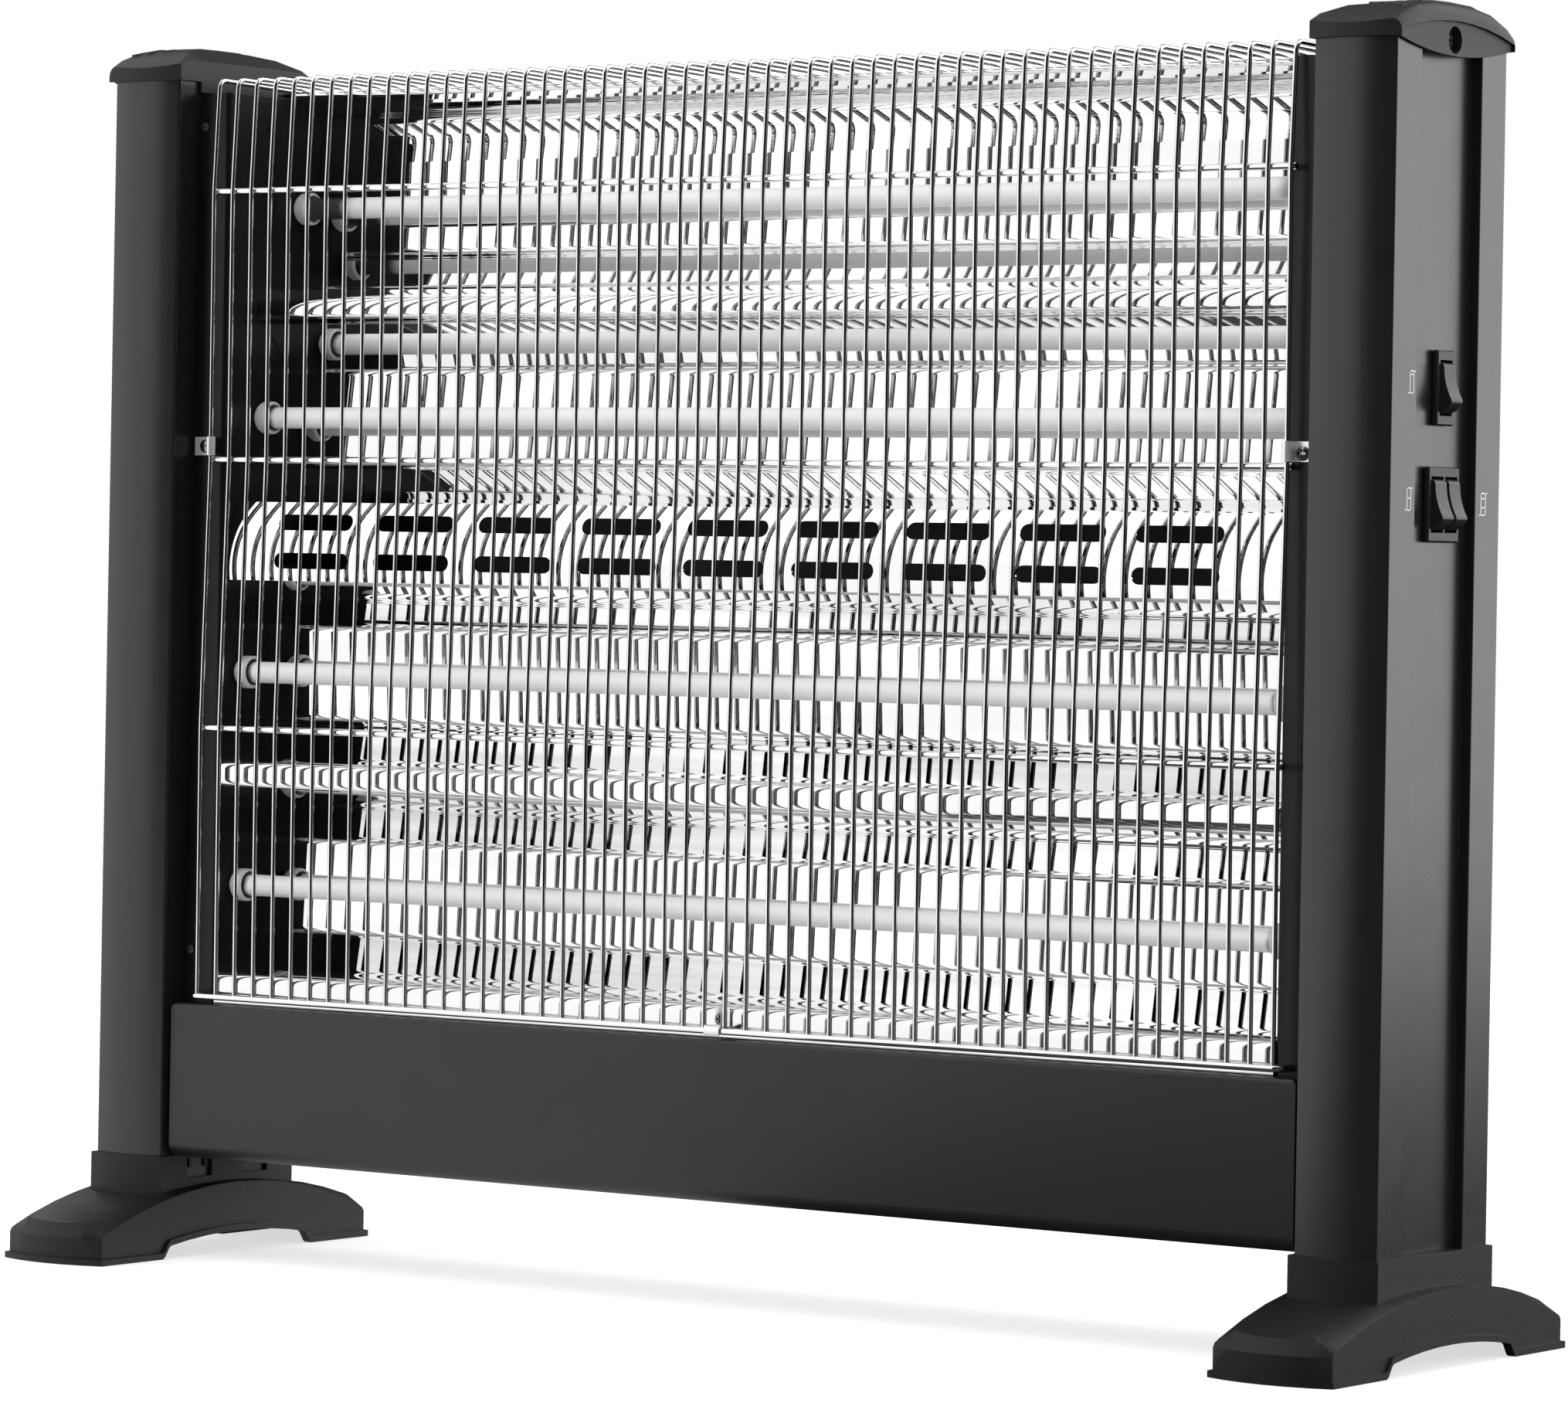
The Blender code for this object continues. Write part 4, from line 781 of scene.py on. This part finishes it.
def holderProfile():  # from the boss on the axis round to the pocket's floor
    part = holder
    length = part["cup"] + part["shoulder"]
    radius = part["radius"]
    return [
        (0, length + part["bossReach"]), (part["boss"], length + part["bossReach"]),
        (part["boss"], length), (radius - part["shoulder"] + part["shoulderTop"], length),
        (radius - part["edge"], part["cup"] + part["shoulderRise"]),
        (radius, part["cup"] - part["step"]), (radius, part["edge"]),
        (radius - part["edge"], 0), (part["pocket"] + part["mouth"], 0),
        (part["pocket"], part["mouthDepth"]), (part["pocket"], length - part["floor"]),
        (0, length - part["floor"]),
    ]


def makeHolders():
    cup = turnedMesh("cup", holderProfile(), holder["sides"])
    pattern = linkedObject("cupPattern", smoothMesh(cup, holder["smoothAngle"]))
    rows = []
    names = []
    for number, centre in zip(tubeNumbers, tubeCentres):
        for side, word in ((-1, "left"), (1, "right")):
            node = "tube_holder_" + word + "_" + number
            names.append(node)
            low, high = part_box(node)
            face = high.x if side < 0 else low.x
            rows.append(((face, centre.y, centre.z), (side, 0, 0), 1.0))
    mesh = grow("screw", pointMesh("cupPoints", rows), {
        "Pattern": pattern, "Material": holderCeramic})
    bpy.data.objects.remove(pattern)
    newPiece("tubeHolders", mesh, holderCeramic, names)


makeTubes()
makeHolders()
print("tubes and holders made")


# Guard: uprights, cross wires, bottom rod and the weld beads between them
guard = {
    "count": 53, "halfWidth": 0.2759, "radius": 0.00105, "sides": 12, "bendSteps": 6,
    "rodRadius": 0.0015, "rodSides": 16, "behind": 0.00215, "smoothAngle": 60,
    "rodZ": (0.1158, 0.2342, 0.3526, 0.4710), "wireY": (-0.0379, -0.0387, -0.0353, -0.0361),
    "bows": (0, 0.03, 0.03, 0.02), "crestZ": 0.51875, "crestRise": 0.0016, "tailY": 0.0220,
    "topY": -0.0335, "bend": 0.0040, "rodEnd": 0.2790, "rodBack": -0.0308, "hook": 0.0030,
    "bead": 0.0015, "beadBack": 0.9, "beadShape": (0.8, 0.6, 1.0),
}


def uprightLine():
    part = guard
    corners = [(part["tailY"], part["crestZ"], 0),
               (part["topY"], part["crestZ"] + part["crestRise"], part["bend"])]
    corners += [(part["wireY"][row], part["rodZ"][row], part["bows"][row])
                for row in (3, 2, 1)]
    corners.append((part["wireY"][0], part["rodZ"][0] - part["radius"], 0))
    return [(-part["halfWidth"], point.x, point.y)
            for point in bentPath(corners, part["bendSteps"])]


def bottomRodLine():  # hooked back at both ends
    part = guard
    plan = bentPath([(0, part["wireY"][0], 0), (part["rodEnd"], part["wireY"][0], part["hook"]),
                     (part["rodEnd"], part["rodBack"], 0)], part["bendSteps"])
    half = [(point.x, point.y, part["rodZ"][0]) for point in plan[1:]]
    return [(-x, y, z) for x, y, z in reversed(half)] + half


def beadMesh():
    shape = bmesh.new()
    bmesh.ops.create_icosphere(shape, subdivisions=1, radius=guard["bead"])
    return meshFrom(shape, "bead")


def makeGuard():
    part = guard
    angle = part["smoothAngle"]
    step = (2 * part["halfWidth"] / (part["count"] - 1), 0, 0)
    uprights = wireMesh(uprightLine(), part["radius"], part["sides"], wireChrome,
                        part["count"], step)
    newPiece("guardUprights", smoothMesh(uprights, angle), wireChrome,
             ["guard"])
    end = part["halfWidth"] + part["rodRadius"]
    rods = []
    beads = []
    for row in (1, 2, 3):
        y = part["wireY"][row]
        z = part["rodZ"][row]
        rods.append(wireMesh([(x, y + part["behind"], z) for x in (-end, 0, end)],
                             part["rodRadius"], part["rodSides"], wireChrome))
        seed = beadMesh()
        place = (-part["halfWidth"], y + part["radius"] * part["beadBack"], z)
        seed.transform(Matrix.Translation(place) @ Matrix.Diagonal((*part["beadShape"], 1)))
        beads.append(rowMesh(seed, wireChrome, part["count"], step))
    rods.append(wireMesh(bottomRodLine(), part["rodRadius"], part["rodSides"], wireChrome))
    for name, meshes in (("guardRods", rods), ("guardWelds", beads)):
        mesh = smoothMesh(joinMeshes(name, meshes), angle)
        newPiece(name, mesh, wireChrome)


makeGuard()
print("guard made")


# Carried-over bodies: merged copies with softened edges and their own finish
bodies = [  # name, node, finish, slot, width of the softened edges
    ("rightPost", "right_post", postPaint, "dark_paint", 0.0009),
    ("leftPost", "left_post", postPaint, "dark_paint", 0.0009),
    ("rightCap", "right_cap", mouldGrain, "dark_plastic", 0.0004),
    ("leftCap", "left_cap", mouldGrain, "dark_plastic", 0.0004),
    ("rightFoot", "right_foot", mouldGrain, "dark_plastic", 0.0005),
    ("leftFoot", "left_foot", mouldGrain, "dark_plastic", 0.0005),
    ("frontPanel", "front_panel", panelPaint, "dark_paint", 0.00025),
    ("rearCover", "rear_cover", panelPaint, "dark_paint", 0.00025),
    ("rightEndPlate", "right_end_plate", plateEnamel, "black_plate", 0.0002),
    ("leftEndPlate", "left_end_plate", plateEnamel, "black_plate", 0.0002),
    ("rightGuardClip", "right_guard_clip", clipSteel, "clip_steel", 0.00015),
    ("leftGuardClip", "left_guard_clip", clipSteel, "clip_steel", 0.00015),
    ("lowerGuardClip", "lower_guard_clip", clipSteel, "clip_steel", 0.00015),
    ("singleSwitch", "single_switch", switchBlack, "switch_plastic", 0.0003),
    ("twinSwitch", "twin_switch", switchBlack, "switch_plastic", 0.0003),
]
rockers = [("singleRocker", "single_rocker"), ("frontRocker", "front_rocker"),
           ("rearRocker", "rear_rocker")]
rocker = {"edge": 0.0005, "lipRadius": 0.0012, "lipSteps": 4, "lipLength": 0.006,
          "lipAngle": 35}


def roundLips(mesh):  # the two long outer edges of a rocker
    middle = middleOf("single_rocker").x
    shape = bmesh.new()
    shape.from_mesh(mesh)
    lips = [edge for edge in shape.edges
            if edge.calc_length() > rocker["lipLength"]
            and edge.calc_face_angle(0) > math.radians(rocker["lipAngle"])
            and min(vert.co.x for vert in edge.verts) > middle]
    bmesh.ops.bevel(shape, geom=lips, offset=rocker["lipRadius"], offset_type="OFFSET",
                    segments=rocker["lipSteps"], profile=0.5, affect="EDGES")
    shape.to_mesh(mesh)
    shape.free()
    return mesh


for name, node, material, slot, edge in bodies:
    newPiece(name, softenEdges(mergedCopy(node), edge), material, [node])
for name, node in rockers:  # each rides on a body of its own node's name
    mesh = softenEdges(roundLips(mergedCopy(node)), rocker["edge"])
    newPiece(name, mesh, rockerBlack, [node], node)

plainNodes = [("terminal_block", blockPlastic), ("tilt_switch", blockPlastic),
              ("thermal_cutout", blockPlastic), ("left_wiring", leadSleeve),
              ("right_wiring", leadSleeve), ("cable_inlet", inletRubber)]
for node, material in plainNodes:
    nodes[node].data.materials.clear()
    nodes[node].data.materials.append(material)
print("bodies finished")


# Screws: a domed head with a cross in it
screw = {"head": 0.0031, "dome": 0.0013, "foot": -0.0006, "rim": 0.0002, "domeSteps": 6,
         "sides": 24, "armWidth": 0.0009, "armShare": 0.62, "depth": 0.0010,
         "smoothAngle": 40}
clipScrew = {"x": 0.2815, "shift": -0.0005, "back": 0.0010, "z": 0.3582, "skew": 0.0004,
             "size": 0.95}
plateScrew = {"inset": 0.0036, "front": 0.0002, "fromTop": 0.0150, "fromBase": 0.0900,
              "size": 0.62}
capScrew = {"inset": 0.0052, "y": -0.001, "z": 0.5214, "size": 1.15}
lowerScrew = {"shift": -0.0006, "front": 0.0018, "fromTop": 0.0046, "size": 0.92}
coverScrew = {"x": (-0.2780, -0.0927, 0.0927, 0.2780), "fromBase": 0.012, "fromTop": 0.014,
              "size": 0.9}


def screwHead():
    part = screw
    rim = part["rim"]
    profile = [(0, part["foot"]), (part["head"], part["foot"]), (part["head"], rim)]
    for step in range(1, part["domeSteps"] + 1):
        angle = math.pi / 2 * step / part["domeSteps"]
        profile.append((part["head"] * math.cos(angle),
                        rim + (part["dome"] - rim) * math.sin(angle)))
    arm = (part["armWidth"], 2 * part["head"] * part["armShare"], 2 * part["depth"])
    cutters = []
    for size in (arm, (arm[1], arm[0], arm[2])):
        shape = bmesh.new()
        addBlock(shape, size, (0, 0, part["dome"]))
        cutters.append(meshFrom(shape, "crossArm"))
    mesh = cutAway(turnedMesh("screwHead", profile, part["sides"]), cutters)
    return linkedObject("screwHead", smoothMesh(mesh, part["smoothAngle"]))


def frontScrews():  # bright ones in the clips, dark ones in the end plates and caps
    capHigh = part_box("right_cap")[1]
    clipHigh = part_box("right_guard_clip")[1]
    plateLow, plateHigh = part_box("right_end_plate")
    lowerLow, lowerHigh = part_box("lower_guard_clip")
    flangeY = reflector["flangeY"]
    front = (0, -1, 0)
    bright = []
    dark = []
    for side in (-1, 1):
        bright.append(((side * clipScrew["x"] + clipScrew["shift"],
                        clipHigh.y - clipScrew["back"],
                        clipScrew["z"] - side * clipScrew["skew"]), front, clipScrew["size"]))
        for z in (plateHigh.z - plateScrew["fromTop"], plateLow.z + plateScrew["fromBase"]):
            dark.append(((side * (plateHigh.x - plateScrew["inset"]),
                          flangeY - plateScrew["front"], z), front, plateScrew["size"]))
        dark.append(((side * (capHigh.x - capScrew["inset"]), capScrew["y"], capScrew["z"]),
                     (side, 0, 0), capScrew["size"]))
    bright.append((((lowerLow.x + lowerHigh.x) / 2 + lowerScrew["shift"],
                    flangeY - lowerScrew["front"], lowerHigh.z - lowerScrew["fromTop"]),
                   front, lowerScrew["size"]))
    return bright, dark


def coverScrews():
    low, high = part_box("rear_cover")
    return [((x, high.y, z), (0, 1, 0), coverScrew["size"])
            for z in (low.z + coverScrew["fromBase"], (low.z + high.z) / 2,
                      high.z - coverScrew["fromTop"])
            for x in coverScrew["x"]]


def makeScrews():
    pattern = screwHead()
    bright, dark = frontScrews()
    for name, rows, material, slot in (
            ("brightScrews", bright, screwSteel, "clip_steel"),
            ("darkScrews", dark, screwBlack, "black_plate"),
            ("backScrews", coverScrews(), screwBlack, "black_plate")):
        mesh = grow("screw", pointMesh(name, rows), {"Pattern": pattern, "Material": material})
        newPiece(name, mesh, material)
    bpy.data.objects.remove(pattern)


makeScrews()
print("screws made")


# Snap ribs in the windows of the foot collars
ribs = {"width": 0.0018, "height": 0.0044, "depth": 0.0011, "gap": 0.0106,
        "windowY": 0.0192, "top": 0.0428, "edge": 0.0002}


def makeSnapRibs():
    part = ribs
    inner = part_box("right_post")[0].x
    halves = []
    for side in (-1, 1):
        shape = bmesh.new()
        addBlock(shape, (part["depth"], part["width"], part["height"]), (
            side * (inner - part["depth"] / 2), -part["windowY"] - part["gap"] / 2,
            part["top"] - part["height"] / 2))
        halves.append(rowMesh(meshFrom(shape, "snapRib"), mouldGrain, 2, (0, part["gap"], 0),
                              2, (0, 2 * part["windowY"], 0)))
    mesh = softenEdges(joinMeshes("snapRibs", halves), part["edge"])
    newPiece("snapRibs", mesh, mouldGrain)


makeSnapRibs()
print("snap ribs made")


# Switch signs: thin printed outlines of a heater with one or two bars
signs = {
    "line": 0.00045, "lift": 0.00008, "overhang": 0.0012, "height": 0.0091,
    "marks": [(-0.0309, 0.3906, 0.0057, (0.80,)),  # left edge, top, width, heights of the bars
              (-0.0318, 0.3449, 0.0058, (0.52,)),
              (0.0271, 0.3439, 0.0065, (0.33, 0.72))],
}


def signBars(left, top, width, bars):
    line = signs["line"]
    right = left + width
    base = top - signs["height"]
    inner = left + signs["overhang"]
    outer = right - signs["overhang"]
    rows = [(inner, top - line, right, top), (left, base, outer, base + line),
            (inner, base, inner + line, top), (outer - line, base, outer, top)]
    for share in bars:
        z = base + signs["height"] * share
        rows.append((inner + line * 2, z, outer - line * 2, z + line))
    return rows


def makeSigns():
    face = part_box("right_post")[1].x
    shape = bmesh.new()
    for mark in signs["marks"]:
        for y0, z0, y1, z1 in signBars(*mark):
            addBlock(shape, (signs["lift"] * 2, y1 - y0, z1 - z0),
                     (face, (y0 + y1) / 2, (z0 + z1) / 2))
    newPiece("switchSigns", meshFrom(shape, "switchSigns"), signPrint)


makeSigns()
print("signs made")


# Floor, backdrop and light
studio = {
    "floorSize": 2.6, "floorSides": 96, "floorDrop": 0.0002, "floorTone": 0.50,
    "floorShade": 0.1, "floorGlow": 0.66, "floorGleam": 0.46, "floorRoughness": 0.9,
    "worldFill": 0.92, "darkSide": 0.012, "topGlow": 0.35, "topEdges": (0.55, 0.85),
    "leftCard": {"turn": -76, "edges": (0.52, 0.60), "glow": 1.18},
    "backCard": {"turn": 143, "edges": (0.72, 0.86), "glow": 2.7},
}


def cardWindow(pen, x, y, card):  # 1 towards the card, 0 away from it
    centre = math.radians(card["turn"])
    level = (x * x + y * y) ** 0.5
    along = (x * math.sin(centre) - y * math.cos(centre)) / (level + 0.0001)  # never by 0
    return pen.ramp(along, card["edges"])


def seenDirectly(pen):  # camera rays, and other gloss or glass rays that met nothing dull
    seen, glossy, through, dull = pen.node("ShaderNodeLightPath", output=(
        "Is Camera Ray", "Is Glossy Ray", "Is Transmission Ray", "Diffuse Depth"))
    mirrored = glossy.greater(through) * (1 - dull.math("MINIMUM", 1))
    return seen, mirrored * (1 - seen)


def makeFloor():
    shape = bmesh.new()
    bmesh.ops.create_circle(shape, cap_ends=True, segments=studio["floorSides"],
                            radius=studio["floorSize"])
    floor = linkedObject("floor", meshFrom(shape, "floor"))
    floor.location.z = -studio["floorDrop"]
    finish = Finish("floorWhite", {"Roughness": studio["floorRoughness"],
                                   "Specular IOR Level": 0.0, "Emission Strength": 1.0})
    seen, mirrored = seenDirectly(finish)
    x, y = finish.split(finish.node("ShaderNodeTexCoord", output="Object"))[:2]
    window = cardWindow(finish, x, y, studio["leftCard"])
    glow = seen * studio["floorGlow"] + mirrored * window * studio["floorGleam"]
    shaded = mirrored * (1 - window)  # the floor shows dark in gloss elsewhere
    tone = studio["floorTone"]
    finish.feed("Base Color", finish.tint(shaded, grey(tone),
                                          grey(tone * studio["floorShade"])))
    finish.feed("Emission Color", finish.tint(glow, grey(0), grey(1)))
    floor.data.materials.append(finish.material)


def makeWorld():
    world = bpy.data.worlds.new("studio")
    scene.world = world
    world.use_nodes = True
    pen = NodePen(world.node_tree)
    seen, mirrored = seenDirectly(pen)
    x, y, z = pen.split(pen.node("ShaderNodeTexCoord", output="Generated"))
    top = pen.ramp(z, studio["topEdges"]) * studio["topGlow"]
    left, back = [cardWindow(pen, x, y, card) * card["glow"]
                  for card in (studio["leftCard"], studio["backCard"])]
    cards = studio["darkSide"] + left.greater(back).greater(top)
    fill = (1 - seen.greater(mirrored)) * studio["worldFill"]
    background = world.node_tree.nodes["Background"]
    background.inputs["Color"].default_value = (1, 1, 1, 1)
    world.node_tree.links.new((seen + mirrored * cards + fill).socket,
                              background.inputs["Strength"])


lamps = [  # name, place, target, size, power
    ("leftLamp", (-2.2, -1.6, 1.3), (0, 0, 0.25), 2.2, 24),
    ("rightLamp", (2.4, 0.5, 0.9), (0.3, 0, 0.25), 1.6, 18),
    ("topLamp", (0.2, -0.4, 2.4), (0, 0, 0.2), 2.4, 20),
]


def makeLamps():
    for name, place, target, size, power in lamps:
        data = bpy.data.lights.new(name, "AREA")
        data.shape = "SQUARE"
        data.size = size
        data.energy = power
        lamp = linkedObject(name, data)
        lamp.location = place
        aim = Vector(target) - Vector(place)
        lamp.rotation_euler = aim.to_track_quat("-Z", "Y").to_euler()
        lamp.visible_glossy = False  # gloss shows the cards of the world instead


makeFloor()
makeWorld()
makeLamps()
scene.view_settings.view_transform = "Standard"
print("studio made")
